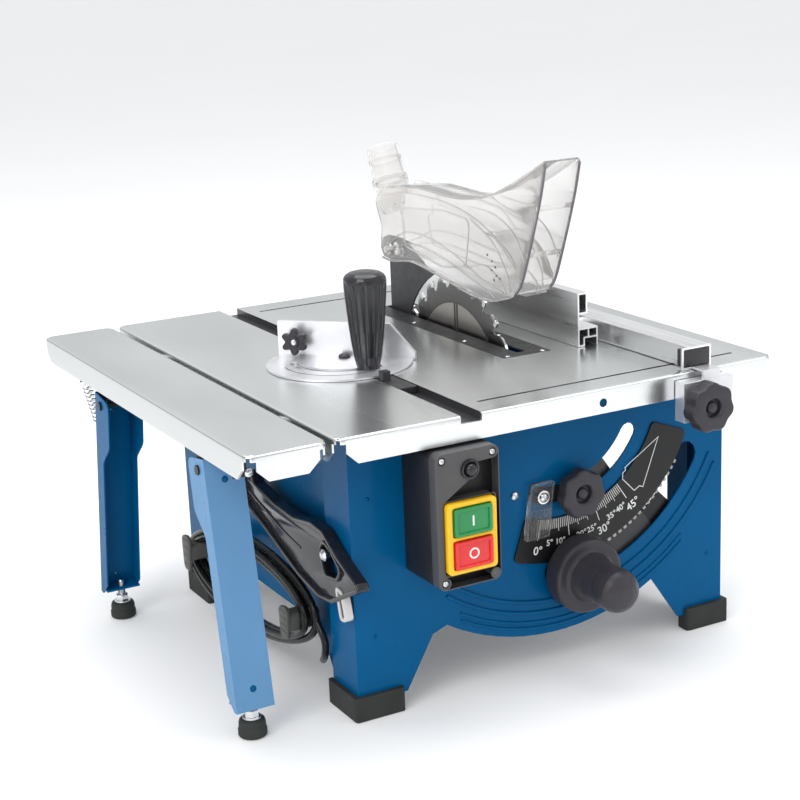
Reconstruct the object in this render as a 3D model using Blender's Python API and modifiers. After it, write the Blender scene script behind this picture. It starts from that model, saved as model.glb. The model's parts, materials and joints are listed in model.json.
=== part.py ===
"""Benchtop table saw: folded steel cabinet, pressed steel table with a side extension on two fold-in legs,
a tilting blade carriage with a height screw, a rip fence and a mitre gauge.

Design frame in millimetres: X to the right, Y to the back, Z up. The design origin is on the floor, under
the middle of the cabinet. SHIFT moves the whole machine so that its own box is centred over the world origin.
"""

import math

import bmesh
import bpy
from mathutils import Matrix, Vector

MM = 0.001
SHIFT = (44.0, -4.0, 0.0)

# Table
TABLE_TOP = 277.4
SHEET = 2.0
SKIRT_BOTTOM = 254.0
CORNER = 10.0
TOP_EDGE = 2.4
TABLE_X = (-234.0, 227.0)
TABLE_Y = (-236.0, 284.0)
EXTENSION_X = (-315.0, -240.0)
MITRE_SLOT_X = (-115.2, -94.4)
MITRE_SLOT_FLOOR = 270.0
INSERT_X = (19.0, 73.0)
INSERT_Y = (-92.0, 186.0)
INSERT_SLOT = ((41.6, 52.0), (-79.0, 183.5))

# Cabinet
PANEL = 1.8
CABINET_X = 203.0
CABINET_Y = 191.0
SIDE_FACE_X = 194.5
PANEL_TOP = 275.1
PANEL_BOTTOM = 16.0
NOTCH_CENTRE = (10.0, 262.0)
NOTCH_RADIUS = 227.0

# Tilt: the blade, its motor and both front knobs swing about this line, which runs along Y
TILT = (12.0, 262.0)
WHEEL_SLOT = (154.0, 180.3)
WHEEL_ANGLES = (-1.0, 61.0)
LOCK_RADIUS = 91.3
LOCK_ANGLES = (-14.5, 60.0)
BAND = (114.0, 156.5)
BAND_ANGLES = (-19.0, 69.0)
RACK_RADIUS = (149.0, 157.8, 162.0)
RACK_ANGLES = (-4.0, 58.4)
RACK_PITCH = 2.4

# Blade
BLADE_X = 47.5
BLADE_CENTRE = (42.0, 225.0)
BLADE_RADIUS = 107.0
BLADE_HALF = 1.2
BLADE_TEETH = 24
MOTOR_CENTRE = (42.0, 180.0)

# Hand controls
WHEEL_AXIS = (28.0, 94.0)
LOCK_AXIS = (27.5, 172.0)
POINTER_SCREW = (-8.0, 172.5)
CLAMP_AXIS = (129.0, 250.0)
SCREW_AXIS = (28.0, -140.0)
GUIDE_ROD_Y = -108.0
GUARD_PIVOT = (152.0, 347.0)

# Mitre gauge
MITRE_PIVOT = (-105.0, 0.0)
MITRE_REST_ANGLE = -45.0
MITRE_HANDLE_Y = -50.0

# Legs
LEG_X = (-312.4, -276.4)
LEG_SPLAY = 9.5
LEG_TOP = (-136.7, 250.0)
LEG_LENGTH = 225.0
LEG_PIVOT = (14.0, -10.0)
LEG_FOOT_Y = -163.0


# ---------------------------------------------------------------- scene, collections, materials

for old in list(bpy.data.objects):
    bpy.data.objects.remove(old, do_unlink=True)

PARTS = bpy.data.collections.new("table_saw")
CUTTERS = bpy.data.collections.new("table_saw_cutters")
for group in (PARTS, CUTTERS):
    bpy.context.scene.collection.children.link(group)
CUTTERS.hide_render = True

ROOT = bpy.data.objects.new("table_saw_root", None)
ROOT.location = Vector(SHIFT) * MM
PARTS.objects.link(ROOT)

PIVOTS = {}


def pivot(name, position, parent=None):
    """An empty on a joint's axis. Positions are in the design frame, in millimetres."""
    empty = bpy.data.objects.new(name, None)
    empty.empty_display_size = 0.02
    PARTS.objects.link(empty)
    base = PIVOTS[parent] if parent else (0.0, 0.0, 0.0)
    empty.parent = bpy.data.objects[parent] if parent else ROOT
    empty.location = (Vector(position) - Vector(base)) * MM
    PIVOTS[name] = tuple(position)
    return empty


def material(name, colour, roughness, metallic=0.0, alpha=1.0):
    made = bpy.data.materials.new(name)
    made.use_nodes = True
    shader = made.node_tree.nodes["Principled BSDF"]
    shader.inputs["Base Color"].default_value = (*colour, 1.0)
    shader.inputs["Roughness"].default_value = roughness
    shader.inputs["Metallic"].default_value = metallic
    shader.inputs["Alpha"].default_value = alpha
    made.diffuse_color = (*colour, alpha)
    return made


FINISHES = {
    "blue_paint": ((0.003, 0.072, 0.205), 0.3, 0.0, 1.0),
    "galvanised": ((0.63, 0.66, 0.65), 0.35, 0.9, 1.0),
    "dark_steel": ((0.045, 0.045, 0.05), 0.45, 0.6, 1.0),
    "grey_steel": ((0.30, 0.29, 0.28), 0.4, 0.9, 1.0),
    "bright_steel": ((0.60, 0.60, 0.60), 0.25, 1.0, 1.0),
    "blade_steel": ((0.38, 0.35, 0.33), 0.3, 1.0, 1.0),
    "aluminium": ((0.66, 0.67, 0.67), 0.3, 1.0, 1.0),
    "black_paint": ((0.012, 0.011, 0.012), 0.4, 0.0, 1.0),
    "knob_plastic": ((0.035, 0.033, 0.04), 0.45, 0.0, 1.0),
    "gloss_black": ((0.01, 0.01, 0.013), 0.15, 0.0, 1.0),
    "box_plastic": ((0.022, 0.021, 0.024), 0.4, 0.0, 1.0),
    "clear_plastic": ((0.88, 0.90, 0.90), 0.08, 0.0, 0.3),
    "rubber": ((0.05, 0.06, 0.055), 0.8, 0.0, 1.0),
    "cord_rubber": ((0.01, 0.01, 0.01), 0.3, 0.0, 1.0),
    "hook_plastic": ((0.10, 0.10, 0.095), 0.5, 0.0, 1.0),
    "yellow_plastic": ((0.95, 0.55, 0.02), 0.35, 0.0, 1.0),
    "green_plastic": ((0.01, 0.30, 0.09), 0.3, 0.0, 1.0),
    "red_plastic": ((0.70, 0.02, 0.03), 0.3, 0.0, 1.0),
    "motor_paint": ((0.06, 0.065, 0.07), 0.45, 0.3, 1.0),
}


# ---------------------------------------------------------------- outlines

def circle(centre, radius, steps=24):
    outline = []
    for i in range(steps):
        angle = 2.0 * math.pi * i / steps
        outline.append((centre[0] + radius * math.cos(angle), centre[1] + radius * math.sin(angle)))
    return outline


def below(centre, radius, degrees):
    """The point at an angle measured from straight down, towards +X."""
    angle = math.radians(degrees)
    return (centre[0] + radius * math.sin(angle), centre[1] - radius * math.cos(angle))


def arc(centre, radius, start, end, steps):
    return [below(centre, radius, start + (end - start) * i / steps) for i in range(steps + 1)]


def arc_slot(centre, radius, half_width, start, end, steps=14):
    """A curved slot with round ends."""
    outline = arc(centre, radius + half_width, start, end, steps)
    last = below(centre, radius, end)
    outline += [below(last, half_width, end + 180.0 * i / 6) for i in range(1, 6)]
    outline += arc(centre, radius - half_width, end, start, steps)
    first = below(centre, radius, start)
    outline += [below(first, half_width, start + 180.0 + 180.0 * i / 6) for i in range(1, 6)]
    return outline


def rectangle(low, high):
    return [(low[0], low[1]), (high[0], low[1]), (high[0], high[1]), (low[0], high[1])]


def rounded(points, radius, steps=4):
    """The outline with an arc at each corner. A corner can state its own radius as a third number."""
    outline = []
    count = len(points)
    for i, point in enumerate(points):
        here = Vector(point[:2])
        size = point[2] if len(point) > 2 else radius
        before = (Vector(points[i - 1][:2]) - here)
        after = (Vector(points[(i + 1) % count][:2]) - here)
        half = before.angle(after) / 2.0
        if size <= 0.0 or half > math.radians(88.0):
            outline.append(tuple(here))
            continue
        reach = min(size / math.tan(half), 0.45 * before.length, 0.45 * after.length)
        size = reach * math.tan(half)
        middle = (before.normalized() + after.normalized()).normalized() * (size / math.sin(half))
        centre = here + middle
        first = here + before.normalized() * reach - centre
        last = here + after.normalized() * reach - centre
        sweep = first.angle_signed(last)
        for step in range(steps + 1):
            turned = Matrix.Rotation(-sweep * step / steps, 2) @ first
            outline.append(tuple(centre + turned))
    return outline


def lobed(centre, radius, depth, lobes, steps_per_lobe=8):
    """A knob's outline: round lobes with hollows between them."""
    steps = lobes * steps_per_lobe
    outline = []
    for i in range(steps):
        angle = 2.0 * math.pi * i / steps
        reach = radius - depth * (0.5 - 0.5 * math.cos(lobes * angle)) ** 1.5
        outline.append((centre[0] + reach * math.sin(angle), centre[1] + reach * math.cos(angle)))
    return outline


def toothed(centre, root, tip, teeth):
    outline = []
    for i in range(teeth):
        for share, radius in ((0.0, root), (0.30, root), (0.45, tip), (0.80, tip)):
            outline.append(below(centre, radius, 360.0 * (i + share) / teeth))
    return outline


# ---------------------------------------------------------------- meshes

def finished(shape, name="shape"):
    """Welds the loose seams, turns every face outwards and returns a mesh."""
    bmesh.ops.remove_doubles(shape, verts=shape.verts, dist=1e-6)
    bmesh.ops.recalc_face_normals(shape, faces=shape.faces)
    if shape.calc_volume(signed=True) < 0.0:
        bmesh.ops.reverse_faces(shape, faces=shape.faces)
    mesh = bpy.data.meshes.new(name)
    shape.to_mesh(mesh)
    shape.free()
    return mesh


def from_object(made):
    """The evaluated mesh of a temporary object, which is then removed."""
    bpy.context.scene.collection.objects.link(made)
    bpy.context.view_layer.update()
    graph = bpy.context.evaluated_depsgraph_get()
    mesh = bpy.data.meshes.new_from_object(made.evaluated_get(graph))
    bpy.data.objects.remove(made, do_unlink=True)
    shape = bmesh.new()
    shape.from_mesh(mesh)
    bpy.data.meshes.remove(mesh)
    return shape


def box(low, high, bevel=0.0, segments=2, edges="all"):
    """A box between two corners, with all its edges rounded, or only the upright ones."""
    shape = bmesh.new()
    size = [(high[i] - low[i]) * MM for i in range(3)]
    middle = [(high[i] + low[i]) * 0.5 * MM for i in range(3)]
    bmesh.ops.create_cube(shape, size=1.0, matrix=Matrix.Translation(middle) @ Matrix.Diagonal((*size, 1.0)))
    if bevel > 0.0:
        picked = shape.edges[:]
        if edges == "upright":
            picked = [e for e in shape.edges if abs(e.verts[0].co.z - e.verts[1].co.z) > 1e-6]
        bmesh.ops.bevel(shape, geom=picked, offset=bevel * MM, segments=segments, profile=0.5, affect="EDGES")
    return finished(shape)


def rod(start, end, radius, end_radius=None, steps=20):
    """A round bar or a cone from one point to another."""
    shape = bmesh.new()
    first, last = Vector(start) * MM, Vector(end) * MM
    turn = (last - first).to_track_quat("Z", "Y").to_matrix().to_4x4()
    place = Matrix.Translation((first + last) / 2.0) @ turn
    other = radius if end_radius is None else end_radius
    bmesh.ops.create_cone(
        shape, cap_ends=True, segments=steps, radius1=radius * MM, radius2=other * MM,
        depth=(last - first).length, matrix=place,
    )
    return finished(shape)


PLANES = {
    "XY": Matrix(((1, 0, 0, 0), (0, 1, 0, 0), (0, 0, 1, 0), (0, 0, 0, 1))),
    "XZ": Matrix(((1, 0, 0, 0), (0, 0, -1, 0), (0, 1, 0, 0), (0, 0, 0, 1))),
    "YZ": Matrix(((0, 0, 1, 0), (1, 0, 0, 0), (0, 1, 0, 0), (0, 0, 0, 1))),
}


def plate(outlines, plane, low, high, bevel=0.0, segments=1):
    """A flat piece: its outline and holes lie in the plane, and it runs from low to high across it."""
    curve = bpy.data.curves.new("outline", "CURVE")
    curve.dimensions = "2D"
    curve.fill_mode = "BOTH"
    curve.extrude = abs(high - low) / 2.0 * MM
    for outline in outlines:
        spline = curve.splines.new("POLY")
        spline.points.add(len(outline) - 1)
        for point, (u, v) in zip(spline.points, outline):
            point.co = (u * MM, v * MM, 0.0, 1.0)
        spline.use_cyclic_u = True
    shape = from_object(bpy.data.objects.new("outline", curve))
    bpy.data.curves.remove(curve)
    bmesh.ops.remove_doubles(shape, verts=shape.verts, dist=1e-6)
    middle = (low + high) / 2.0 * MM
    across = {"XY": (0.0, 0.0, middle), "XZ": (0.0, middle, 0.0), "YZ": (middle, 0.0, 0.0)}[plane]
    shape.transform(Matrix.Translation(across) @ PLANES[plane])
    if bevel > 0.0:
        rims = [
            e for e in shape.edges
            if len(e.link_faces) == 2 and e.calc_face_angle(0.0) > math.radians(70.0)
            and not is_wall_corner(e, plane)
        ]
        bmesh.ops.bevel(shape, geom=rims, offset=bevel * MM, segments=segments, profile=0.5, affect="EDGES")
    return finished(shape)


def is_wall_corner(edge, plane):
    """Whether the edge runs straight across the plate, from one face to the other."""
    along = (edge.verts[0].co - edge.verts[1].co).normalized()
    axis = {"XY": Vector((0, 0, 1)), "XZ": Vector((0, 1, 0)), "YZ": Vector((1, 0, 0))}[plane]
    return abs(along.dot(axis)) > 0.99


def turned(profile, origin, direction, steps=32):
    """A turned piece. The profile holds (radius, height) pairs, top down; height runs along direction."""
    mesh = bpy.data.meshes.new("profile")
    shape = bmesh.new()
    points = [shape.verts.new((radius * MM, 0.0, height * MM)) for radius, height in profile]
    for first, last in zip(points, points[1:]):
        shape.edges.new((first, last))
    if profile[0][0] > 0.0:
        shape.edges.new((points[-1], points[0]))
    shape.to_mesh(mesh)
    shape.free()
    made = bpy.data.objects.new("profile", mesh)
    screw = made.modifiers.new("turn", "SCREW")
    screw.axis = "Z"
    screw.steps = steps
    screw.render_steps = steps
    screw.use_merge_vertices = True
    screw.merge_threshold = 1e-5
    shape = from_object(made)
    bpy.data.meshes.remove(mesh)
    turn = Vector(direction).to_track_quat("Z", "Y").to_matrix().to_4x4()
    shape.transform(Matrix.Translation(Vector(origin) * MM) @ turn)
    return finished(shape)


def tube(points, radius):
    """A wire or a cord along a path."""
    curve = bpy.data.curves.new("wire", "CURVE")
    curve.dimensions = "3D"
    curve.bevel_depth = radius * MM
    curve.bevel_resolution = 1
    curve.use_fill_caps = True
    spline = curve.splines.new("POLY")
    spline.points.add(len(points) - 1)
    for point, place in zip(spline.points, points):
        point.co = (place[0] * MM, place[1] * MM, place[2] * MM, 1.0)
    shape = from_object(bpy.data.objects.new("wire", curve))
    bpy.data.curves.remove(curve)
    return finished(shape)


# ---------------------------------------------------------------- nodes, cuts and joins

def add(name, mesh, finish, parent=None):
    """Adds one named piece with a material of its own."""
    mesh.name = name
    node = bpy.data.objects.new(name, mesh)
    PARTS.objects.link(node)
    mesh.materials.append(material(name, *FINISHES[finish]))
    mesh.shade_smooth()
    mesh.set_sharp_from_angle(angle=math.radians(32.0))
    if parent:
        node.parent = bpy.data.objects[parent]
        node.location = -Vector(PIVOTS[parent]) * MM
    else:
        node.parent = ROOT
    return node


def boolean(node, mesh, operation, label):
    helper = bpy.data.objects.new(f"{node.name}_{label}", mesh)
    mesh.materials.append(node.data.materials[0])
    helper.parent = ROOT
    helper.hide_render = True
    helper.display_type = "WIRE"
    CUTTERS.objects.link(helper)
    modifier = node.modifiers.new(label, "BOOLEAN")
    modifier.operation = operation
    modifier.solver = "EXACT"
    modifier.object = helper


def cut(node, *meshes):
    for mesh in meshes:
        boolean(node, mesh, "DIFFERENCE", f"cut_{len(node.modifiers) + 1}")


def join(node, *meshes):
    for mesh in meshes:
        boolean(node, mesh, "UNION", f"join_{len(node.modifiers) + 1}")


# ---------------------------------------------------------------- joints

pivot("tilt_axis", (TILT[0], 0.0, TILT[1]))
pivot("lock_knob_axis", (LOCK_AXIS[0], -200.0, LOCK_AXIS[1]), "tilt_axis")
pivot("handwheel_axis", (WHEEL_AXIS[0], -200.0, WHEEL_AXIS[1]), "tilt_axis")
pivot("height_screw_axis", (SCREW_AXIS[0], SCREW_AXIS[1], 150.0), "tilt_axis")
pivot("height_slide", (28.0, GUIDE_ROD_Y, 199.0), "tilt_axis")
pivot("arbor_axis", (BLADE_X, BLADE_CENTRE[0], BLADE_CENTRE[1]), "height_slide")
pivot("guard_axis", (BLADE_X, GUARD_PIVOT[0], GUARD_PIVOT[1]), "tilt_axis")
pivot("fence_slide", (110.0, -100.0, TABLE_TOP))
pivot("clamp_knob_axis", (CLAMP_AXIS[0], -250.0, CLAMP_AXIS[1]), "fence_slide")
pivot("mitre_slide", (MITRE_PIVOT[0], MITRE_PIVOT[1], MITRE_SLOT_FLOOR))
pivot("mitre_head_axis", (MITRE_PIVOT[0], MITRE_PIVOT[1], TABLE_TOP), "mitre_slide")
pivot("mitre_handle_axis", (MITRE_PIVOT[0], MITRE_HANDLE_Y, TABLE_TOP), "mitre_slide")


# ---------------------------------------------------------------- table

def tray(name, x_range):
    """The solid block of a pressed tray, with round corners and a round top edge, not yet hollow."""
    shape = bmesh.new()
    low = (x_range[0], TABLE_Y[0], SKIRT_BOTTOM)
    high = (x_range[1], TABLE_Y[1], TABLE_TOP)
    size = [(high[i] - low[i]) * MM for i in range(3)]
    middle = [(high[i] + low[i]) * 0.5 * MM for i in range(3)]
    bmesh.ops.create_cube(shape, size=1.0, matrix=Matrix.Translation(middle) @ Matrix.Diagonal((*size, 1.0)))
    upright = [e for e in shape.edges if abs(e.verts[0].co.z - e.verts[1].co.z) > 1e-6]
    bmesh.ops.bevel(shape, geom=upright, offset=CORNER * MM, segments=4, profile=0.5, affect="EDGES")
    upper = [e for e in shape.edges if min(v.co.z for v in e.verts) > (TABLE_TOP - 0.01) * MM]
    bmesh.ops.bevel(shape, geom=upper, offset=TOP_EDGE * MM, segments=2, profile=0.5, affect="EDGES")
    return add(name, finished(shape), "galvanised")


def corner_gaps(node, x_range):
    """Opens the skirt at the corners, with its lower ends cut at an angle."""
    for x in x_range:
        for y in TABLE_Y:
            cut(node, box((x - 9.0, y - 9.0, 240.0), (x + 9.0, y + 9.0, 272.0)))
            flare = rod((x, y, 248.0), (x, y, 264.0), 26.0 * math.sqrt(2.0), 9.0 * math.sqrt(2.0), steps=4)
            flare.transform(
                Matrix.Translation(Vector((x, y, 0.0)) * MM) @ Matrix.Rotation(math.radians(45.0), 4, "Z")
                @ Matrix.Translation(Vector((-x, -y, 0.0)) * MM)
            )
            cut(node, flare)


def main_table():
    node = tray("main_table", TABLE_X)
    inner = [(TABLE_X[0] + SHEET, TABLE_Y[0] + SHEET), (TABLE_X[1] - SHEET, TABLE_Y[1] - SHEET)]
    under = TABLE_TOP - SHEET
    slot = (MITRE_SLOT_X[0] - SHEET, MITRE_SLOT_X[1] + SHEET)
    cut(
        node,
        box((*inner[0], 230.0), (*inner[1], MITRE_SLOT_FLOOR - SHEET)),
        box((*inner[0], 262.0), (slot[0], inner[1][1], under)),
        box((slot[1], inner[0][1], 262.0), (*inner[1], under)),
        box((MITRE_SLOT_X[0], -300.0, MITRE_SLOT_FLOOR), (MITRE_SLOT_X[1], 340.0, 300.0)),
    )
    gap = 0.3
    opening = rounded(
        rectangle((INSERT_X[0] - gap, INSERT_Y[0] - gap), (INSERT_X[1] + gap, INSERT_Y[1] + gap)), 2.0, 2
    )
    cut(node, plate([opening], "XY", 270.0, 290.0))
    for y in (-88.0, -7.0, 95.0, 167.0):
        for low, high in ((9.0, 31.5), (60.5, 83.0)):
            join(node, box((low, y - 7.0, 273.4), (high, y + 7.0, 275.6)))
    for y, ends in ((-205.0, (-80.0, 202.0)), (250.0, (-81.0, 190.0))):
        cut(node, box((ends[0], y - 2.0, TABLE_TOP - 0.9), (ends[1], y + 2.0, 290.0)))
    cut(node, rod((32.0, -250.0, 264.0), (32.0, -225.0, 264.0), 4.0, steps=16))
    for y in (-120.0, 160.0):
        cut(node, rod((-250.0, y, 265.0), (-220.0, y, 265.0), 3.4, steps=12))
    corner_gaps(node, TABLE_X)


def table_extension():
    node = tray("table_extension", EXTENSION_X)
    cut(
        node,
        box(
            (EXTENSION_X[0] + SHEET, TABLE_Y[0] + SHEET, 230.0),
            (EXTENSION_X[1] - SHEET, TABLE_Y[1] - SHEET, TABLE_TOP - SHEET),
        ),
    )
    for y in (-120.0, 160.0):
        cut(node, rod((-250.0, y, 265.0), (-230.0, y, 265.0), 3.4, steps=12))
    corner_gaps(node, EXTENSION_X)


def extension_bolt(name, y):
    """A bolt through both skirts, with a spacer collar between them."""
    profile = [
        (0.0, 13.0), (5.2, 13.0), (5.2, 8.6), (3.0, 8.6), (3.0, 2.4), (6.0, 2.4),
        (6.0, -2.4), (3.0, -2.4), (3.0, -6.0), (5.2, -6.0), (5.2, -10.0), (0.0, -10.0),
    ]
    add(name, turned(profile, (-237.0, y, 265.0), (1.0, 0.0, 0.0), steps=12), "bright_steel")


def insert_plate():
    outer = rounded(rectangle((INSERT_X[0], INSERT_Y[0]), (INSERT_X[1], INSERT_Y[1])), 2.0, 2)
    slot = rounded(
        rectangle(
            (INSERT_SLOT[0][0], INSERT_SLOT[1][0]), (INSERT_SLOT[0][1], INSERT_SLOT[1][1])
        ),
        2.5, 2,
    )
    add("insert_plate", plate([outer, slot], "XY", TABLE_TOP - 1.5, TABLE_TOP), "dark_steel")


main_table()
table_extension()
extension_bolt("extension_bolt_front", -120.0)
extension_bolt("extension_bolt_back", 160.0)
insert_plate()


# ---------------------------------------------------------------- cabinet

def end_panel_outline():
    """The front and back panels share this outline: two corner feet with a curved notch between them."""
    low = [(-CABINET_X, PANEL_BOTTOM), (-153.0, PANEL_BOTTOM), (-125.0, 64.0)]
    low += arc(NOTCH_CENTRE, NOTCH_RADIUS, -32.0, 28.5, 16)
    low += [(150.0, PANEL_BOTTOM), (CABINET_X, PANEL_BOTTOM), (CABINET_X, PANEL_TOP)]
    right, left = MITRE_SLOT_X[1] + SHEET + 0.6, MITRE_SLOT_X[0] - SHEET - 0.6
    floor = MITRE_SLOT_FLOOR - SHEET - 0.5
    low += [(right, PANEL_TOP), (right, floor), (left, floor), (left, PANEL_TOP)]
    return low + [(-CABINET_X, PANEL_TOP)]


def end_flanges(node, face, inner):
    """The returns that wrap round on to the cabinet's sides."""
    for side in (-1.0, 1.0):
        xs = sorted((side * CABINET_X, side * (CABINET_X - 1.5)))
        ys = sorted((face, inner))
        join(node, box((xs[0], ys[0], PANEL_BOTTOM), (xs[1], ys[1], PANEL_TOP - 0.4)))


def front_panel():
    middle = (WHEEL_SLOT[0] + WHEEL_SLOT[1]) / 2.0
    half = (WHEEL_SLOT[1] - WHEEL_SLOT[0]) / 2.0
    holes = [
        arc_slot(TILT, middle, half, WHEEL_ANGLES[0], WHEEL_ANGLES[1], 18),
        arc_slot(TILT, LOCK_RADIUS, 8.0, LOCK_ANGLES[0], LOCK_ANGLES[1], 14),
        circle(TILT, 5.4, 16),
    ]
    holes += [circle(centre, 2.4, 10) for centre in ((-184, 76), (185, 75), (184, 200), (-185, 204))]
    face = -CABINET_Y
    node = add("front_panel", plate([end_panel_outline(), *holes], "XZ", face, face + PANEL), "blue_paint")
    end_flanges(node, face, -142.0)


def back_panel():
    holes = [circle(TILT, 5.4, 16)]
    for row in range(6):
        z = 120.0 + 14.0 * row
        holes.append(rounded(rectangle((-100.0, z), (-40.0, z + 6.0)), 2.9, 3))
    face = CABINET_Y
    node = add("back_panel", plate([end_panel_outline(), *holes], "XZ", face - PANEL, face), "blue_paint")
    end_flanges(node, face, 142.0)


def side_panel(name, side, window):
    """A side sheet set in behind the returns, with a fold at each end that reaches out to them."""
    outer = [
        (-150.0, PANEL_BOTTOM), (-128.0, PANEL_BOTTOM), (-104.0, 58.0), (104.0, 58.0), (128.0, PANEL_BOTTOM),
        (150.0, PANEL_BOTTOM), (150.0, PANEL_TOP), (-150.0, PANEL_TOP),
    ]
    outlines = [outer]
    if window:
        outlines.append(rounded(rectangle((-118.0, 92.0), (118.0, 226.0)), 18.0, 5))
    xs = sorted((side * SIDE_FACE_X, side * (SIDE_FACE_X - 1.5)))
    node = add(name, plate(outlines, "YZ", xs[0], xs[1]), "blue_paint")
    fold = sorted((side * (SIDE_FACE_X - 0.6), side * (CABINET_X - 1.8)))
    for y in (-150.0, 148.5):
        join(node, box((fold[0], y, PANEL_BOTTOM + 0.5), (fold[1], y + 1.5, PANEL_TOP - 0.5)))


def rubber_foot(name, side, end):
    """A corner boot under the cabinet: an L-shaped pad with a lip outside the sheet."""
    def place(x, y):
        return (side * x, end * y)

    outline = [
        place(208.5, 196.5), place(158.0, 196.5), place(158.0, 180.0),
        place(192.0, 180.0), place(192.0, 140.0), place(208.5, 140.0),
    ]
    node = add(name, plate([rounded(outline, 3.0, 2)], "XY", 0.0, 23.0), "rubber")
    xs = sorted((side * (CABINET_X + 0.4), side * 100.0))
    ys = sorted((end * (CABINET_Y + 0.4), end * 100.0))
    cut(node, box((xs[0], ys[0], PANEL_BOTTOM - 0.4), (xs[1], ys[1], 60.0)))


front_panel()
back_panel()
side_panel("left_side_panel", -1.0, False)
side_panel("right_side_panel", 1.0, True)
rubber_foot("foot_front_left", -1.0, -1.0)
rubber_foot("foot_front_right", 1.0, -1.0)
rubber_foot("foot_back_left", -1.0, 1.0)
rubber_foot("foot_back_right", 1.0, 1.0)


# ---------------------------------------------------------------- bevel scale and rack

def scale_band():
    outline = arc(TILT, BAND[1], BAND_ANGLES[0], BAND_ANGLES[1], 22)
    outline += arc(TILT, BAND[0], BAND_ANGLES[1], BAND_ANGLES[0], 18)
    corners = {0, 22, 23, len(outline) - 1}
    rimmed = [(*point, 5.0 if i in corners else 0.0) for i, point in enumerate(outline)]
    face = -CABINET_Y - 0.3
    add("scale_band", plate([rounded(rimmed, 0.0, 3)], "XZ", face - 1.6, face), "black_paint")


def gear_rack():
    """A toothed arc behind the front panel, concentric with the tilt axis."""
    outline = []
    inner, root, tip = RACK_RADIUS
    teeth = int(round((RACK_ANGLES[1] - RACK_ANGLES[0]) / RACK_PITCH))
    for i in range(teeth):
        start = RACK_ANGLES[0] + RACK_PITCH * i
        for share, radius in ((0.0, root), (0.3, root), (0.42, tip), (0.85, tip)):
            outline.append(below(TILT, radius, start + RACK_PITCH * share))
    outline.append(below(TILT, root, RACK_ANGLES[1]))
    outline += arc(TILT, inner, RACK_ANGLES[1], RACK_ANGLES[0], 20)
    back = -CABINET_Y + PANEL + 0.3
    add("gear_rack", plate([outline], "XZ", back, back + 1.8), "grey_steel")


scale_band()
gear_rack()


# ---------------------------------------------------------------- switch box

def switch_box():
    low, high = (-150.0, -251.0, 129.0), (-87.0, -CABINET_Y - 0.3, 252.0)
    node = add("switch_box", box(low, high, bevel=3.5, segments=2), "box_plastic")
    cut(
        node,
        box((-143.0, -270.0, 143.0), (-93.0, -240.0, 208.0)),
        rod((-117.0, -270.0, 234.5), (-117.0, -243.0, 234.5), 7.4, steps=24),
    )
    for x in (-143.5, -93.5):
        for z in (135.5, 245.5):
            cut(node, rod((x, -260.0, z), (x, -246.0, z), 3.2, steps=12))


def switch_frame():
    body = box((-142.6, -255.5, 143.4), (-93.4, -240.3, 207.6), bevel=1.2, segments=1)
    node = add("switch_frame", body, "yellow_plastic")
    cut(
        node,
        box((-137.0, -270.0, 177.5), (-99.0, -241.5, 203.0)),
        box((-137.0, -270.0, 148.0), (-99.0, -241.5, 173.5)),
    )


def push_button(name, low, high, finish):
    centre = ((low[0] + high[0]) / 2.0, -250.0, (low[1] + high[1]) / 2.0)
    pivot(name + "_slide", centre)
    mesh = box((low[0], -258.0, low[1]), (high[0], -245.5, high[1]), bevel=1.4, segments=2)
    add(name, mesh, finish, name + "_slide")


def reset_button():
    pivot("reset_button_slide", (-117.0, -250.0, 234.5))
    profile = [
        (0.0, 257.5), (4.0, 257.2), (5.2, 256.0), (5.4, 254.2), (7.0, 253.8), (7.0, 247.0), (0.0, 247.0),
    ]
    mesh = turned(profile, (-117.0, 0.0, 234.5), (0.0, -1.0, 0.0), steps=24)
    add("reset_button", mesh, "gloss_black", "reset_button_slide")


switch_box()
switch_frame()
push_button("start_button", (-136.6, 177.9), (-99.4, 202.6), "green_plastic")
push_button("stop_button", (-136.6, 148.4), (-99.4, 173.1), "red_plastic")
reset_button()


# ---------------------------------------------------------------- tilt carriage

FRONT_TRUNNION = (-186.8, -183.8)
BACK_TRUNNION = (183.8, 186.8)


def trunnion_outline():
    """A hanging sector under the tilt axis, with an arm to the left for the upper tie bar."""
    outline = [below(TILT, 10.0, 90.0 + 180.0 * i / 8) for i in range(9)]
    outline += [(-76.0, 252.0), (-76.0, 226.0)]
    outline += arc(TILT, 182.0, -22.0, 37.0, 14)
    return outline + [(24.0, 250.0)]


def tilt_carriage():
    holes = [circle(WHEEL_AXIS, 5.5, 16), circle(LOCK_AXIS, 4.2, 14), circle(POINTER_SCREW, 2.8, 12)]
    front = plate([trunnion_outline(), *holes], "XZ", *FRONT_TRUNNION)
    node = add("tilt_carriage", front, "dark_steel", "tilt_axis")
    join(
        node,
        box((-70.0, -184.5, 232.0), (-50.0, 185.0, 246.0)),
        box((66.0, -184.5, 130.0), (86.0, 185.0, 150.0)),
        plate([trunnion_outline()], "XZ", *BACK_TRUNNION),
        rod((TILT[0], -193.0, TILT[1]), (TILT[0], -185.0, TILT[1]), 5.0, steps=16),
        rod((TILT[0], 185.0, TILT[1]), (TILT[0], 193.0, TILT[1]), 5.0, steps=16),
        box((15.0, -185.0, 236.0), (41.0, -98.0, 244.0)),
        box((15.0, -185.0, 112.0), (41.0, -98.0, 118.0)),
        rod((28.0, GUIDE_ROD_Y, 115.0), (28.0, GUIDE_ROD_Y, 240.0), 5.0, steps=16),
        box((48.8, 152.0, 198.0), (58.0, 185.0, 230.0)),
    )
    for z in (115.0, 240.0):
        cut(node, rod((*SCREW_AXIS, z - 8.0), (*SCREW_AXIS, z + 8.0), 5.4, steps=16))


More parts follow.
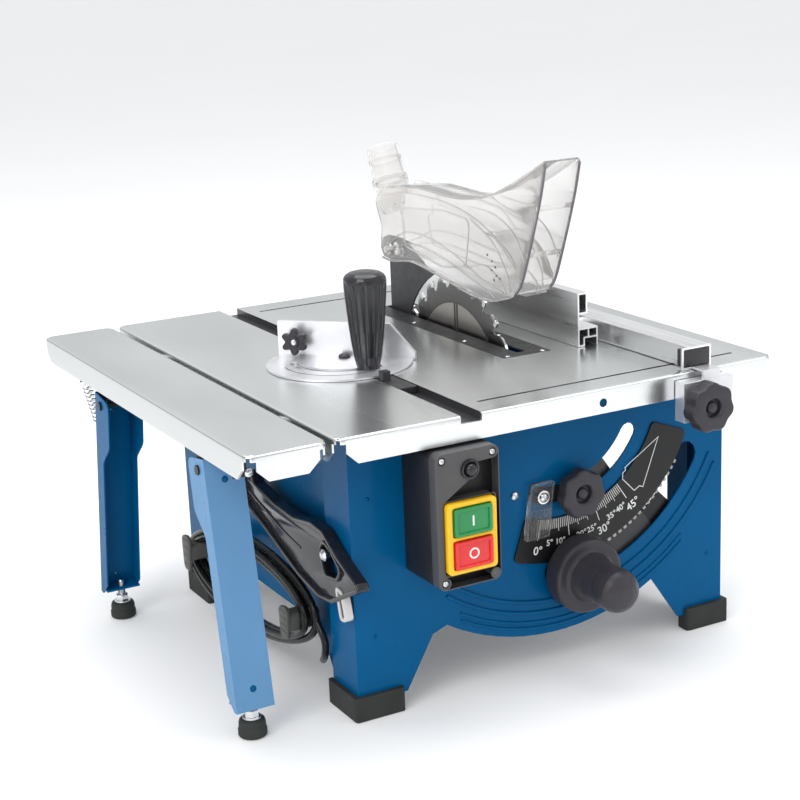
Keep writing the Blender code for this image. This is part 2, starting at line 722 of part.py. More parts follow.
def bevel_pointer():
    """A clear tongue over the scale, held by a screw through the lock slot."""
    outline = [(-20.5, 187.0, 7.0), (4.5, 187.0, 7.0), (-2.0, 133.0, 2.5), (-29.0, 133.0, 2.5)]
    hole = circle(POINTER_SCREW, 3.2, 12)
    mesh = plate([rounded(outline, 4.0, 4), hole], "XZ", -198.0, -193.8, bevel=0.5)
    add("bevel_pointer", mesh, "clear_plastic", "tilt_axis")


def pointer_screw():
    profile = [
        (0.0, 201.6), (3.6, 201.2), (5.4, 199.6), (5.4, 198.3), (2.4, 198.3), (2.4, 193.5), (5.0, 193.5),
        (5.0, 187.1), (2.4, 187.1), (2.4, 181.0), (0.0, 181.0),
    ]
    mesh = turned(profile, (POINTER_SCREW[0], 0.0, POINTER_SCREW[1]), (0.0, -1.0, 0.0), steps=16)
    add("pointer_screw", mesh, "bright_steel", "tilt_axis")


def hand_knob(name, axis, front, back, stud_end, lobes, parent):
    """A lobed knob with a raised rim, a shallow dish, a domed plug and a threaded stud."""
    body = plate([lobed(axis, 23.2, 3.6, lobes, 5)], "XZ", front, back, bevel=1.8)
    node = add(name, body, "knob_plastic", parent)
    low = [
        (0.0, -back + 1.0), (11.0, -back + 1.0), (10.0, -back - 6.0), (3.8, -back - 6.0), (3.8, stud_end),
        (0.0, stud_end),
    ]
    join(node, turned(low, (axis[0], 0.0, axis[1]), (0.0, -1.0, 0.0), steps=24))
    cut(node, turned(
        [(0.0, -front + 6.0), (9.0, -front + 6.0), (7.4, -front - 4.0), (0.0, -front - 4.0)],
        (axis[0], 0.0, axis[1]), (0.0, -1.0, 0.0), steps=24,
    ))
    plug = [
        (0.0, -front + 0.2), (2.4, -front - 0.2), (4.6, -front - 1.4), (5.6, -front - 3.0),
        (5.6, -front - 6.0), (0.0, -front - 6.0),
    ]
    join(node, turned(plug, (axis[0], 0.0, axis[1]), (0.0, -1.0, 0.0), steps=24))


def handwheel():
    profile = [
        (0.0, 276.0), (7.0, 275.4), (13.0, 273.4), (17.6, 269.8), (20.0, 265.0), (20.6, 259.0),
        (20.2, 250.0), (18.8, 247.5), (20.4, 232.0), (23.6, 219.8), (27.0, 218.6), (33.0, 219.0),
        (35.2, 217.6), (36.0, 215.0), (36.0, 200.0), (34.6, 197.0), (31.0, 196.0), (10.0, 196.0),
        (10.0, 193.9), (5.4, 193.9), (5.4, 230.0), (0.0, 230.0),
    ]
    mesh = turned(profile, (WHEEL_AXIS[0], 0.0, WHEEL_AXIS[1]), (0.0, -1.0, 0.0), steps=28)
    add("handwheel", mesh, "knob_plastic", "handwheel_axis")


def handwheel_shaft():
    """The shaft behind the wheel: a small pinion for the rack and a bevel gear for the height screw."""
    axis = (WHEEL_AXIS[0], 0.0, WHEEL_AXIS[1])
    profile = [(0.0, 229.6), (5.0, 229.6), (5.0, 150.0), (8.5, 149.0), (4.2, 144.6), (0.0, 144.6)]
    mesh = turned(profile, axis, (0.0, -1.0, 0.0), steps=20)
    node = add("handwheel_shaft", mesh, "bright_steel", "handwheel_axis")
    join(node, plate([toothed(WHEEL_AXIS, 6.2, 8.4, 10)], "XZ", -193.6, -191.5))


def height_screw():
    profile = [
        (0.0, 243.0), (4.0, 243.0), (4.6, 242.0), (4.6, 106.0), (8.5, 105.0), (8.5, 103.0), (4.2, 98.6),
        (0.0, 98.6),
    ]
    mesh = turned(profile, (SCREW_AXIS[0], SCREW_AXIS[1], 0.0), (0.0, 0.0, 1.0), steps=20)
    add("height_screw", mesh, "bright_steel", "height_screw_axis")


tilt_carriage()
bevel_pointer()
pointer_screw()
hand_knob("lock_knob", LOCK_AXIS, -212.0, -199.0, 178.0, 7, "lock_knob_axis")
handwheel()
handwheel_shaft()
height_screw()


# ---------------------------------------------------------------- motor, arbor and blade

def gear_case():
    """The drive case that carries the arbor, with an arm forward to the height screw."""
    outline = arc(MOTOR_CENTRE, 34.0, -80.0, 80.0, 12) + arc(BLADE_CENTRE, 26.0, 80.0, 280.0, 14)
    hole = circle(BLADE_CENTRE, 8.1, 20)
    mesh = plate([outline, hole], "YZ", 12.0, 38.0)
    node = add("gear_case", mesh, "aluminium", "height_slide")
    join(
        node,
        box((18.0, -152.0, 192.0), (38.0, 26.0, 206.0)),
    )
    cut(
        node,
        rod((*SCREW_AXIS, 180.0), (*SCREW_AXIS, 220.0), 5.1, steps=16),
        rod((28.0, GUIDE_ROD_Y, 180.0), (28.0, GUIDE_ROD_Y, 220.0), 5.4, steps=16),
    )


def motor_housing():
    profile = [
        (0.0, 11.7), (36.0, 11.7), (40.0, 9.0), (42.0, 5.0), (42.0, -84.0), (40.0, -92.0), (36.0, -104.0),
        (30.0, -110.0), (0.0, -112.0),
    ]
    mesh = turned(profile, (0.0, *MOTOR_CENTRE), (1.0, 0.0, 0.0), steps=32)
    add("motor_housing", mesh, "motor_paint", "height_slide")


def arbor():
    flange = BLADE_X - BLADE_HALF - 0.3
    profile = [
        (0.0, 57.4), (6.8, 57.4), (7.6, 56.6), (7.6, flange), (14.0, flange), (14.0, 42.4), (9.5, 41.8),
        (9.5, 38.4), (7.7, 38.4), (7.7, 13.0), (0.0, 13.0),
    ]
    mesh = turned(profile, (0.0, *BLADE_CENTRE), (1.0, 0.0, 0.0), steps=28)
    add("arbor", mesh, "bright_steel", "arbor_axis")


def arbor_nut():
    """The outer blade flange with its hexagon, threaded on to the arbor."""
    face = BLADE_X + BLADE_HALF + 0.3
    hole = circle(BLADE_CENTRE, 8.0, 24)
    flange = plate([circle(BLADE_CENTRE, 13.6, 28), hole], "YZ", face, face + 2.0)
    node = add("arbor_nut", flange, "bright_steel", "arbor_axis")
    join(node, plate([circle(BLADE_CENTRE, 10.4, 6), hole], "YZ", face + 1.5, face + 7.6))


def saw_blade():
    """A carbide-tipped disc: each tooth has a steep face, a tip, a long back and a round gullet."""
    tooth = (
        (0.00, 0.0), (0.22, -1.2), (0.42, -5.0), (0.56, -10.4), (0.74, -12.6), (0.90, -10.6), (0.95, -5.0),
        (0.985, 0.0),
    )
    outline = []
    for i in range(BLADE_TEETH):
        for share, reach in tooth:
            angle = 360.0 * (i + share) / BLADE_TEETH
            outline.append(below(BLADE_CENTRE, BLADE_RADIUS + reach, -angle))
    hole = circle(BLADE_CENTRE, 8.0, 28)
    mesh = plate([outline, hole], "YZ", BLADE_X - BLADE_HALF, BLADE_X + BLADE_HALF)
    add("saw_blade", mesh, "blade_steel", "arbor_axis")


gear_case()
motor_housing()
arbor()
arbor_nut()
saw_blade()


# ---------------------------------------------------------------- riving knife and guard

def riving_knife():
    """A plate behind the blade whose front edge keeps a short, even gap to the teeth."""
    reach = BLADE_RADIUS + 4.6
    outline = [(181.5, 200.0), (181.5, 346.0), (178.0, 354.0), (170.0, 358.0), (140.0, 358.0), (81.0, 330.4)]
    for i in range(1, 12):
        angle = math.radians(70.0 * (1.0 - i / 11.0))
        outline.append((BLADE_CENTRE[0] + reach * math.cos(angle), BLADE_CENTRE[1] + reach * math.sin(angle)))
    outline.append((153.6, 200.0))
    hole = circle(GUARD_PIVOT, 3.4, 14)
    mesh = plate([outline, hole], "YZ", BLADE_X - 1.0, BLADE_X + 1.0)
    add("riving_knife", mesh, "dark_steel", "tilt_axis")


GUARD_TOP = [
    (150.0, 417.5), (125.0, 417.0), (79.0, 421.0), (18.0, 419.5), (-26.0, 423.0), (-63.0, 431.0),
    (-96.0, 444.0), (-122.0, 456.0),
]
GUARD_FRONT = [(-155.0, 471.0), (-145.0, 437.0), (-128.0, 392.0), (-111.0, 353.0), (-95.0, 336.0)]
GUARD_HALF = 14.0
GUARD_WALL = 2.0


def blade_guard():
    """A clear hood, open below, with a hose spout at the back. It swings on the riving knife."""
    low = [
        (-60.0, 326.0), (-24.0, 326.5), (11.0, 331.5), (46.0, 336.5), (94.0, 341.5), (136.0, 336.0),
        (158.0, 337.0),
    ]
    back = [(166.0, 347.0), (163.0, 371.0), (189.0, 417.0)]
    outline = rounded(
        [(*p, 0.0) for p in GUARD_TOP] + [(*GUARD_FRONT[0], 2.0)] + [(*p, 4.0) for p in GUARD_FRONT[1:]]
        + [(*p, 8.0) for p in low] + [(*p, 3.0) for p in back],
        0.0, 3,
    )
    sides = (BLADE_X - GUARD_HALF, BLADE_X + GUARD_HALF)
    node = add("blade_guard", plate([outline], "YZ", *sides), "clear_plastic", "guard_axis")
    spout_base, spout_top = (BLADE_X, 172.0, 408.0), (BLADE_X, 191.0, 450.0)
    join(
        node,
        rod((BLADE_X, 160.0, 384.0), (BLADE_X, 176.0, 417.0), 12.0, 19.6, steps=28),
        rod((BLADE_X, 173.0, 411.0), spout_top, 17.0, 16.4, steps=28),
    )
    inner = [(p[0], p[1] - GUARD_WALL) for p in GUARD_TOP]
    inner[0] = (178.0, 413.0)
    inner += [(p[0] + 2.2, p[1] - 1.2) for p in GUARD_FRONT[:1]]
    inner += [(p[0] + 2.0, p[1]) for p in GUARD_FRONT[1:]]
    inner += [(-78.0, 331.0), (-78.0, 300.0), (220.0, 300.0), (220.0, 385.0), (170.0, 385.0)]
    hollow = (sides[0] + GUARD_WALL, sides[1] - GUARD_WALL)
    axis = (Vector(spout_top) - Vector(spout_base)).normalized()
    cut(
        node,
        plate([inner], "YZ", *hollow),
        rod(tuple(Vector(spout_top) - 46.0 * axis), tuple(Vector(spout_top) + 8.0 * axis), 14.6, steps=24),
        rod((BLADE_X - 30.0, *GUARD_PIVOT), (BLADE_X + 30.0, *GUARD_PIVOT), 3.5, steps=14),
    )


def guard_bolt():
    """The bolt through the guard's lugs and the riving knife."""
    outside = GUARD_HALF + 0.3
    profile = [
        (0.0, outside + 3.4), (5.0, outside + 3.0), (6.0, outside), (3.0, outside), (3.0, 3.0), (6.0, 3.0),
        (6.0, 1.3), (3.0, 1.3), (3.0, -1.3), (6.0, -1.3), (6.0, -3.0), (3.0, -3.0), (3.0, -outside),
        (6.0, -outside), (5.0, -outside - 3.0), (0.0, -outside - 3.4),
    ]
    mesh = turned(profile, (BLADE_X, *GUARD_PIVOT), (1.0, 0.0, 0.0), steps=16)
    add("guard_bolt", mesh, "bright_steel", "tilt_axis")


riving_knife()
blade_guard()
guard_bolt()


# ---------------------------------------------------------------- rip fence

FENCE_Y = (-100.0, 272.0)
TUBE_Y = (-230.0, 272.0)


def rip_fence_profile():
    """An extrusion: a tall face, a closed box along its top, and two chambers and a slot along its foot."""
    foot = TABLE_TOP + 0.3
    outer = [
        (99.0, foot), (107.0, foot), (107.0, 285.6), (120.8, 285.6), (120.8, foot), (122.3, foot),
        (122.3, 296.2), (100.9, 296.2), (100.9, 310.0), (110.3, 310.0), (110.3, 331.0), (99.0, 331.0),
    ]
    chambers = [
        [(100.9, 279.4), (105.4, 279.4), (105.4, 287.2), (110.6, 287.2), (110.6, 294.4), (100.9, 294.4)],
        rectangle((112.2, 287.2), (120.6, 294.4)),
        rectangle((100.9, 311.8), (108.5, 329.2)),
    ]
    add("rip_fence_profile", plate([outer, *chambers], "XZ", *FENCE_Y), "aluminium", "fence_slide")


def fence_tube():
    """A square tube beside the extrusion, with two collars that hold it clear."""
    foot = TABLE_TOP + 0.3
    outer = rounded(rectangle((131.0, foot), (156.0, foot + 21.0)), 1.5, 2)
    inner = rectangle((132.8, foot + 1.8), (154.2, foot + 19.2))
    node = add("fence_tube", plate([outer, inner], "XZ", *TUBE_Y), "aluminium", "fence_slide")
    for y in (-60.0, 180.0):
        join(node, rod((122.6, y, 290.5), (132.0, y, 290.5), 5.5, steps=16))


def tube_cap(name, end, outward):
    """A plastic plug with a thin flange that closes the end of the tube."""
    foot = TABLE_TOP + 0.3
    faces = sorted((end + 0.3 * outward, end + 2.0 * outward))
    plug = sorted((end - 10.0 * outward, end + 1.0 * outward))
    flange = box((131.6, faces[0], foot + 0.6), (155.4, faces[1], foot + 20.4))
    node = add(name, flange, "gloss_black", "fence_slide")
    join(node, box((133.2, plug[0], foot + 2.2), (153.8, plug[1], foot + 18.8)))


def fence_clamp_bracket():
    """A folded channel in front of the skirt, with a tongue that the tube rests on."""
    wall = 2.0
    outline = [
        (111.0, -250.0), (167.0, -250.0), (167.0, -237.0), (167.0 - wall, -237.0),
        (167.0 - wall, -250.0 + wall), (111.0 + wall, -250.0 + wall), (111.0 + wall, -237.0), (111.0, -237.0),
    ]
    node = add("fence_clamp_bracket", plate([outline], "XY", 234.0, 271.0), "aluminium", "fence_slide")
    join(
        node,
        box((111.5, -249.5, 269.5), (166.5, -237.4, 271.5)),
        box((134.0, -249.0, 270.5), (153.0, -246.0, 280.0)),
        box((134.0, -249.0, 278.0), (153.0, -232.6, 280.0)),
    )
    x, z = CLAMP_AXIS
    cut(node, rod((x, -260.0, z), (x, -245.0, z), 4.2, steps=16))


rip_fence_profile()
fence_tube()
tube_cap("tube_cap_front", TUBE_Y[0], -1.0)
tube_cap("tube_cap_back", TUBE_Y[1], 1.0)
fence_clamp_bracket()
hand_knob("fence_clamp_knob", CLAMP_AXIS, -271.0, -256.6, 238.0, 7, "clamp_knob_axis")


# ---------------------------------------------------------------- mitre gauge

HEAD_TURN = Matrix.Rotation(math.radians(MITRE_REST_ANGLE), 4, "Z")
HEAD_TURN.translation = Vector((*MITRE_PIVOT, 0.0)) * MM
HEAD_FLOOR = TABLE_TOP + 0.3
FENCE_HEIGHT = 312.7


def in_head(mesh):
    """Moves a mesh from the head's own frame, centred on its pivot, to its place on the table."""
    mesh.transform(HEAD_TURN)
    return mesh


def upright_outline(bottom):
    low = [(-69.5, bottom), (69.5, bottom), (69.5, 285.0)]
    return low + [(45.0, FENCE_HEIGHT), (-69.5, FENCE_HEIGHT)]


def mitre_head():
    """A part-round base with an arc slot and a folded upright along its straight side."""
    chord = math.degrees(math.acos(-23.0 / 70.6))
    outline = arc((0.0, -15.0), 70.6, -chord, chord, 28)
    holes = [circle((0.0, 0.0), 3.4, 14), arc_slot((0.0, 0.0), 50.0, 4.3, -57.0, 57.0, 16)]
    base = in_head(plate([outline, *holes], "XY", HEAD_FLOOR, HEAD_FLOOR + 2.0))
    node = add("mitre_head", base, "bright_steel", "mitre_head_axis")
    hole = circle((-48.5, 295.0), 3.3, 14)
    join(node, in_head(plate([upright_outline(HEAD_FLOOR + 0.2), hole], "XZ", 6.0, 8.0)))


def mitre_fence_plate():
    hole = circle((-48.5, 295.0), 3.3, 14)
    mesh = in_head(plate([upright_outline(HEAD_FLOOR + 0.2), hole], "XZ", 8.3, 10.8))
    add("mitre_fence_plate", mesh, "aluminium", "mitre_head_axis")


def mitre_bar():
    low = (MITRE_SLOT_X[0] + 0.6, -125.0, MITRE_SLOT_FLOOR + 0.3)
    high = (MITRE_SLOT_X[1] - 0.6, 125.0, TABLE_TOP - 0.6)
    handle = (MITRE_PIVOT[0], MITRE_HANDLE_Y)
    node = add("mitre_bar", box(low, high, bevel=0.5, segments=1), "dark_steel", "mitre_slide")
    cut(
        node,
        rod((*MITRE_PIVOT, 260.0), (*MITRE_PIVOT, 290.0), 3.3, steps=14),
        rod((*handle, 260.0), (*handle, 290.0), 4.2, steps=14),
    )
    join(node, box((-114.0, -95.0, 276.0), (-106.0, -87.0, 286.0)))


def mitre_pivot_bolt():
    profile = [
        (0.0, 283.6), (3.4, 283.4), (5.6, 281.8), (5.8, 280.1), (3.0, 280.1), (3.0, 271.0), (0.0, 271.0),
    ]
    mesh = turned(profile, (*MITRE_PIVOT, 0.0), (0.0, 0.0, 1.0), steps=16)
    add("mitre_pivot_bolt", mesh, "dark_steel", "mitre_slide")


def fluted(mesh, centre, flutes, depth, low, high):
    """Presses shallow upright grooves into a turned grip."""
    for vertex in mesh.vertices:
        height = vertex.co.z / MM
        if not low < height < high:
            continue
        offset = Vector((vertex.co.x - centre[0] * MM, vertex.co.y - centre[1] * MM))
        angle = math.atan2(offset.y, offset.x)
        fade = min(1.0, (height - low) / 12.0, (high - height) / 6.0)
        wave = 0.5 - 0.5 * math.cos(flutes * angle)
        scale = 1.0 - depth * fade * wave * MM / max(offset.length, 1e-6)
        vertex.co.x = centre[0] * MM + offset.x * scale
        vertex.co.y = centre[1] * MM + offset.y * scale
    return mesh


def mitre_handle():
    profile = [
        (0.0, 373.0), (8.0, 372.7), (14.5, 371.4), (18.4, 369.0), (20.2, 366.0), (20.5, 362.5),
        (20.3, 357.0), (19.0, 342.0), (17.4, 324.0), (15.6, 306.0), (13.6, 292.0), (11.4, 283.0),
        (10.6, 280.2), (3.8, 280.2), (3.8, 271.0), (0.0, 271.0),
    ]
    centre = (MITRE_PIVOT[0], MITRE_HANDLE_Y)
    mesh = turned(profile, (*centre, 0.0), (0.0, 0.0, 1.0), steps=36)
    add("mitre_handle", fluted(mesh, centre, 12, 0.9, 282.0, 368.0), "knob_plastic", "mitre_handle_axis")


def mitre_star_knob():
    place = HEAD_TURN @ Vector((-48.5 * MM, 6.0 * MM, 0.295))
    pivot("mitre_star_axis", tuple(place / MM), "mitre_head_axis")
    axis = (-48.5, 295.0)
    body = in_head(plate([lobed(axis, 13.3, 3.8, 6, 6)], "XZ", -8.0, -0.5, bevel=1.2))
    node = add("mitre_star_knob", body, "gloss_black", "mitre_star_axis")
    hub = [(0.0, 1.5), (6.4, 1.5), (6.4, -5.6), (2.9, -5.6), (2.9, -16.0), (0.0, -16.0)]
    join(node, in_head(turned(hub, (axis[0], 0.0, axis[1]), (0.0, -1.0, 0.0), steps=16)))


mitre_head()
mitre_fence_plate()
mitre_bar()
mitre_pivot_bolt()
mitre_handle()
mitre_star_knob()


# ---------------------------------------------------------------- legs

def leg_frame(end):
    """The leg's own frame: Y runs inwards from its outer face, and Z runs up along it from its top corner."""
    turn = Matrix.Rotation(math.radians(-LEG_SPLAY), 4, "X")
    place = Matrix.Translation(Vector((0.0, LEG_TOP[0], LEG_TOP[1])) * MM) @ turn
    flip = Matrix.Diagonal((1.0, -end, 1.0, 1.0))
    return flip @ place


def mirrored(mesh, matrix):
    """Places a mesh, keeping its faces outwards when the matrix mirrors it."""
    mesh.transform(matrix)
    if matrix.determinant() < 0.0:
        mesh.flip_normals()
    return mesh


def leg(name, end):
    frame = leg_frame(end)
    side = [
        (0.0, 0.0, 3.0), (36.0, 0.0, 8.0), (36.0, -48.0, 10.0), (18.0, -70.0, 10.0),
        (18.0, -LEG_LENGTH + 14.0, 2.0), (6.0, -LEG_LENGTH, 2.0), (0.0, -LEG_LENGTH, 0.0),
    ]
    hole = circle(LEG_PIVOT, 3.5, 14)
    hinge = frame @ Vector((0.0, LEG_PIVOT[0] * MM, LEG_PIVOT[1] * MM))
    pivot(name + "_axis", (-294.4, hinge.y / MM, hinge.z / MM))
    web = box((LEG_X[0], 0.0, -LEG_LENGTH), (LEG_X[1], 1.5, 0.0))
    sole = box((LEG_X[0] + 0.4, 0.6, -LEG_LENGTH + 6.0), (LEG_X[1] - 0.4, 17.0, -LEG_LENGTH + 8.0))
    node = add(name, mirrored(web, frame), "blue_paint", name + "_axis")
    outline = [rounded(side, 0.0, 3), hole]
    join(
        node,
        mirrored(plate(outline, "YZ", LEG_X[0], LEG_X[0] + 1.5), frame),
        mirrored(plate(outline, "YZ", LEG_X[1] - 1.5, LEG_X[1]), frame),
        mirrored(sole, frame),
    )
    cut(
        node,
        mirrored(rod((-294.4, -8.0, -20.0), (-294.4, 8.0, -20.0), 3.2, steps=14), frame),
        mirrored(rod((-294.4, -8.0, -206.0), (-294.4, 8.0, -206.0), 3.2, steps=14), frame),
        rod((-294.4, -end * LEG_FOOT_Y, 20.0), (-294.4, -end * LEG_FOOT_Y, 60.0), 4.6, steps=14),
    )


def leg_bracket(name, end):
    """A folded bracket under the extension: a top plate, two ears, the leg's pin and a spring tab."""
    frame = leg_frame(end)
    hinge = frame @ Vector((0.0, LEG_PIVOT[0] * MM, LEG_PIVOT[1] * MM))
    y, z = hinge.y / MM, hinge.z / MM
    ys = sorted((y - 11.0 * end, y + 68.0 * end))
    top = TABLE_TOP - SHEET - 0.3
    node = add(name, box((-309.0, ys[0], top - 2.0), (-280.0, ys[1], top)), "black_paint")
    corners = [
        (y - 10.0, z - 8.0, 6.0), (y + 10.0, z - 8.0, 6.0), (y + 10.0, top - 0.6, 0.0),
        (y - 10.0, top - 0.6, 0.0),
    ]
    ear = rounded(corners, 0.0, 4)
    pin = [
        (0.0, -274.4), (4.6, -274.4), (4.6, -276.0), (3.0, -276.0), (3.0, -312.8), (4.6, -312.8),
        (4.6, -314.2), (0.0, -314.2),
    ]
    join(
        node,
        plate([ear], "YZ", -309.0, -307.0),
        plate([ear], "YZ", -282.0, -280.0),
        turned(pin, (0.0, y, z), (1.0, 0.0, 0.0), steps=14),
    )
    tab = sorted((y + 66.0 * end, y + 68.0 * end))
    join(node, box((-309.0, tab[0], 247.0), (-296.0, tab[1], top - 0.5)))


def leg_foot(name, end):
    """A rubber levelling foot on a stud, with its lock nut below the leg."""
    profile = [
        (0.0, 40.0), (3.6, 40.0), (3.6, 24.6), (6.4, 24.4), (6.4, 17.4), (9.0, 16.8), (11.4, 15.6),
        (12.0, 13.0), (12.0, 9.0), (12.8, 7.0), (12.8, 1.2), (11.6, 0.0), (0.0, 0.0),
    ]
    mesh = turned(profile, (-294.4, -end * LEG_FOOT_Y, 0.0), (0.0, 0.0, 1.0), steps=24)
    add(name, mesh, "rubber", name.replace("_foot", "") + "_axis")


def leg_spring(name, end):
    """A coil spring from the bracket's tab to the outer face of the leg."""
    first = Vector((-305.0, end * 184.5, 246.0))
    last = Vector((-305.0, end * 156.0, 215.0))
    along = (last - first).normalized()
    side = Vector((1.0, 0.0, 0.0))
    up = along.cross(side)
    turns, per_turn = 8, 7
    points = [first - along * 3.0]
    for i in range(turns * per_turn + 1):
        angle = 2.0 * math.pi * i / per_turn
        centre = first + (last - first) * (i / (turns * per_turn))
        points.append(centre + 4.6 * (side * math.cos(angle) + up * math.sin(angle)))
    points += [last + along * 3.0, Vector((-305.0, end * 146.4, 209.0))]
    add(name, tube(points, 0.8), "bright_steel", "leg_back_axis")


leg("leg_front", -1.0)
leg("leg_back", 1.0)
leg_bracket("leg_bracket_front", -1.0)
leg_bracket("leg_bracket_back", 1.0)
leg_foot("leg_front_foot", -1.0)
leg_foot("leg_back_foot", 1.0)
leg_spring("leg_spring", 1.0)


# ---------------------------------------------------------------- push stick and stowed cord on the left side

def push_stick():
    """A moulded stick with a notch at one end and a hand loop at the other, hung on the left side."""
    outline = [
        (17.0, 176.0, 3.0), (-9.0, 189.0, 3.0), (-15.0, 178.0, 6.0), (-60.0, 170.0, 20.0),
        (-100.0, 168.0, 20.0), (-136.0, 174.0, 20.0), (-160.0, 172.0, 14.0), (-187.0, 156.0, 10.0),
        (-221.0, 142.0, 3.0), (-226.0, 136.0, 3.0), (-170.0, 107.0, 14.0), (-146.0, 104.0, 14.0),
        (-104.0, 112.0, 30.0), (-26.0, 139.0, 20.0), (11.0, 150.0, 4.0),
    ]
    oval = [
        (-151.0, 152.0), (-157.0, 160.0), (-171.0, 155.0), (-187.0, 143.0), (-180.0, 134.0), (-158.0, 131.0),
    ]
    loop = rounded(oval, 6.0, 4)
    mesh = plate([rounded(outline, 0.0, 3), loop], "YZ", -214.0, -205.0, bevel=1.6)
    add("push_stick", mesh, "gloss_black")


def push_stick_peg():
    """A screw on the cabinet that the push stick hangs on."""
    profile = [
        (0.0, 218.5), (3.6, 218.0), (5.6, 216.2), (5.6, 214.4), (3.0, 214.4), (3.0, 203.3), (0.0, 203.3),
    ]
    mesh = turned(profile, (0.0, -162.0, 150.5), (-1.0, 0.0, 0.0), steps=16)
    add("push_stick_peg", mesh, "bright_steel")


def cable_hook(name, low, high, lip_low, lip_high):
    """A post on the side panel with a lip that keeps the cord from sliding off."""
    node = add(name, box((-233.0, *low), (-194.8, *high), bevel=1.5, segments=1), "hook_plastic")
    join(node, box((-234.0, *lip_low), (-230.4, *lip_high), bevel=1.2, segments=1))


def cable_coil():
    """The mains cord, wound four times round the hooks, with its end led in under the cabinet."""
    points = []
    turns, per_turn = 4, 20
    for i in range(turns * per_turn + 1):
        turn = i / per_turn
        angle = 2.0 * math.pi * turn
        grow = 8.4 * max(0.0, min(1.0, turn - 1.6))
        layer = (0.0, 8.2, 8.2, 0.0, 0.0)
        step = int(turn)
        share = turn - step
        towards_next = max(0.0, min(1.0, 3.0 * share - 2.0))
        shift = layer[step] + (layer[min(step + 1, 4)] - layer[step]) * towards_next
        y = 12.0 - (132.0 + grow) * math.cos(angle)
        lean = 8.0 * math.cos(angle)
        z = 68.0 + lean + (36.0 + grow) * math.sin(angle)
        points.append((-211.0 - shift, y, z))
    points += [
        (-209.0, -140.0, 60.0), (-207.0, -135.0, 44.0), (-200.0, -116.0, 30.0), (-190.0, -103.0, 31.0),
        (-180.0, -97.0, 38.0),
    ]
    add("cable_coil", tube(points, 3.4), "cord_rubber")


push_stick()
push_stick_peg()
cable_hook("cable_hook_back", (108.0, 48.0), (126.0, 68.0), (106.0, 50.0), (150.0, 88.0))
cable_hook("cable_hook_front", (-104.0, 64.0), (-88.0, 86.0), (-128.0, 56.0), (-86.0, 90.0))
cable_coil()
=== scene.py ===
"""Looks of the benchtop table saw: materials, finer pieces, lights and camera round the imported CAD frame.

Local sizes are in millimetres, measured from the point on the floor under the middle of the cabinet: X to the
right, Y to the back, Z up. at() turns such a point into a place in the frame, in metres.
"""

import json
import math

import bmesh
import bpy
from mathutils import Matrix, Vector


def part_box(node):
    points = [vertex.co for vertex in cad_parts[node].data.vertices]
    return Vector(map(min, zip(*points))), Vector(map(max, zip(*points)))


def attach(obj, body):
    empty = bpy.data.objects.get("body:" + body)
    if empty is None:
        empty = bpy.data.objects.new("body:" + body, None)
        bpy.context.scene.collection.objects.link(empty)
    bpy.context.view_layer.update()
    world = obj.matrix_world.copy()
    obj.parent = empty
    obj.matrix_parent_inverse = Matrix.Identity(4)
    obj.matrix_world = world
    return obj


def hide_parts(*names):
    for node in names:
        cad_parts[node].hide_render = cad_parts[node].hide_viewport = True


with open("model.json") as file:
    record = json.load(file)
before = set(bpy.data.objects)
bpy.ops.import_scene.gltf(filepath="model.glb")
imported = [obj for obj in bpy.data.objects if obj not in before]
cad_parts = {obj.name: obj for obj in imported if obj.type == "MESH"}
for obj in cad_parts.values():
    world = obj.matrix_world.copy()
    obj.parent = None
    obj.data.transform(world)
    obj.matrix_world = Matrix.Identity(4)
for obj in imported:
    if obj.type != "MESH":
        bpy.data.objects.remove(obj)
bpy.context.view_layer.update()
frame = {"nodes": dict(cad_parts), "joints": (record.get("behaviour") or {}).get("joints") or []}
MM = 0.001


# ---------------- places taken from the frame

JOINTS = {joint["name"]: joint for joint in frame["joints"]}
FRONT_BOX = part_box("front_panel")
BACK_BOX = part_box("back_panel")
HOME = Vector(((FRONT_BOX[0].x + FRONT_BOX[1].x) / 2, (FRONT_BOX[0].y + BACK_BOX[1].y) / 2, 0))


def at(x, y, z):
    return HOME + Vector((x, y, z)) * MM


def local(point):
    """A place in the frame as local millimetres."""
    return (Vector(point) - HOME) / MM


def span(node):
    """The lowest and highest corners of a node, in local millimetres."""
    low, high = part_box(node)
    return local(low), local(high)


def axis_of(joint):
    return local(JOINTS[joint]["pos_m"])


TILT = axis_of("bevel_tilt")
WHEEL = axis_of("handwheel_turn")
LOCK = axis_of("lock_knob_turn")
CLAMP = axis_of("fence_clamp_turn")
ARBOR = axis_of("blade_spin")
GUARD = axis_of("guard_swing")
MITRE = axis_of("mitre_angle")
GRIP = axis_of("mitre_grip_turn")
MITRE_ANGLE = -45
TABLE_LOW, TABLE_HIGH = span("main_table")
TABLE_TOP = TABLE_HIGH.z
RECESS_EDGE = 3
RECESS_DEPTH = 9
FRONT_FACE = span("front_panel")[0].y
BACK_FACE = span("back_panel")[1].y
SCALE_FACE = span("scale_band")[0].y
LEFT_FACE = span("left_side_panel")[0].x
FORWARD, BACKWARD, LEFT, UP = (0, -1, 0), (0, 1, 0), (-1, 0, 0), (0, 0, 1)


# ---------------- materials

LOOKS = {}


def new_node(tree, kind, inputs=(), **settings):
    """Adds a shader node. inputs holds values, or sockets to link; settings are the node's properties."""
    node = tree.nodes.new("ShaderNode" + kind)
    for name, value in settings.items():
        setattr(node, name, value)
    for name, value in dict(inputs).items():
        if isinstance(value, bpy.types.NodeSocket):
            tree.links.new(value, node.inputs[name])
        else:
            node.inputs[name].default_value = value
    return node


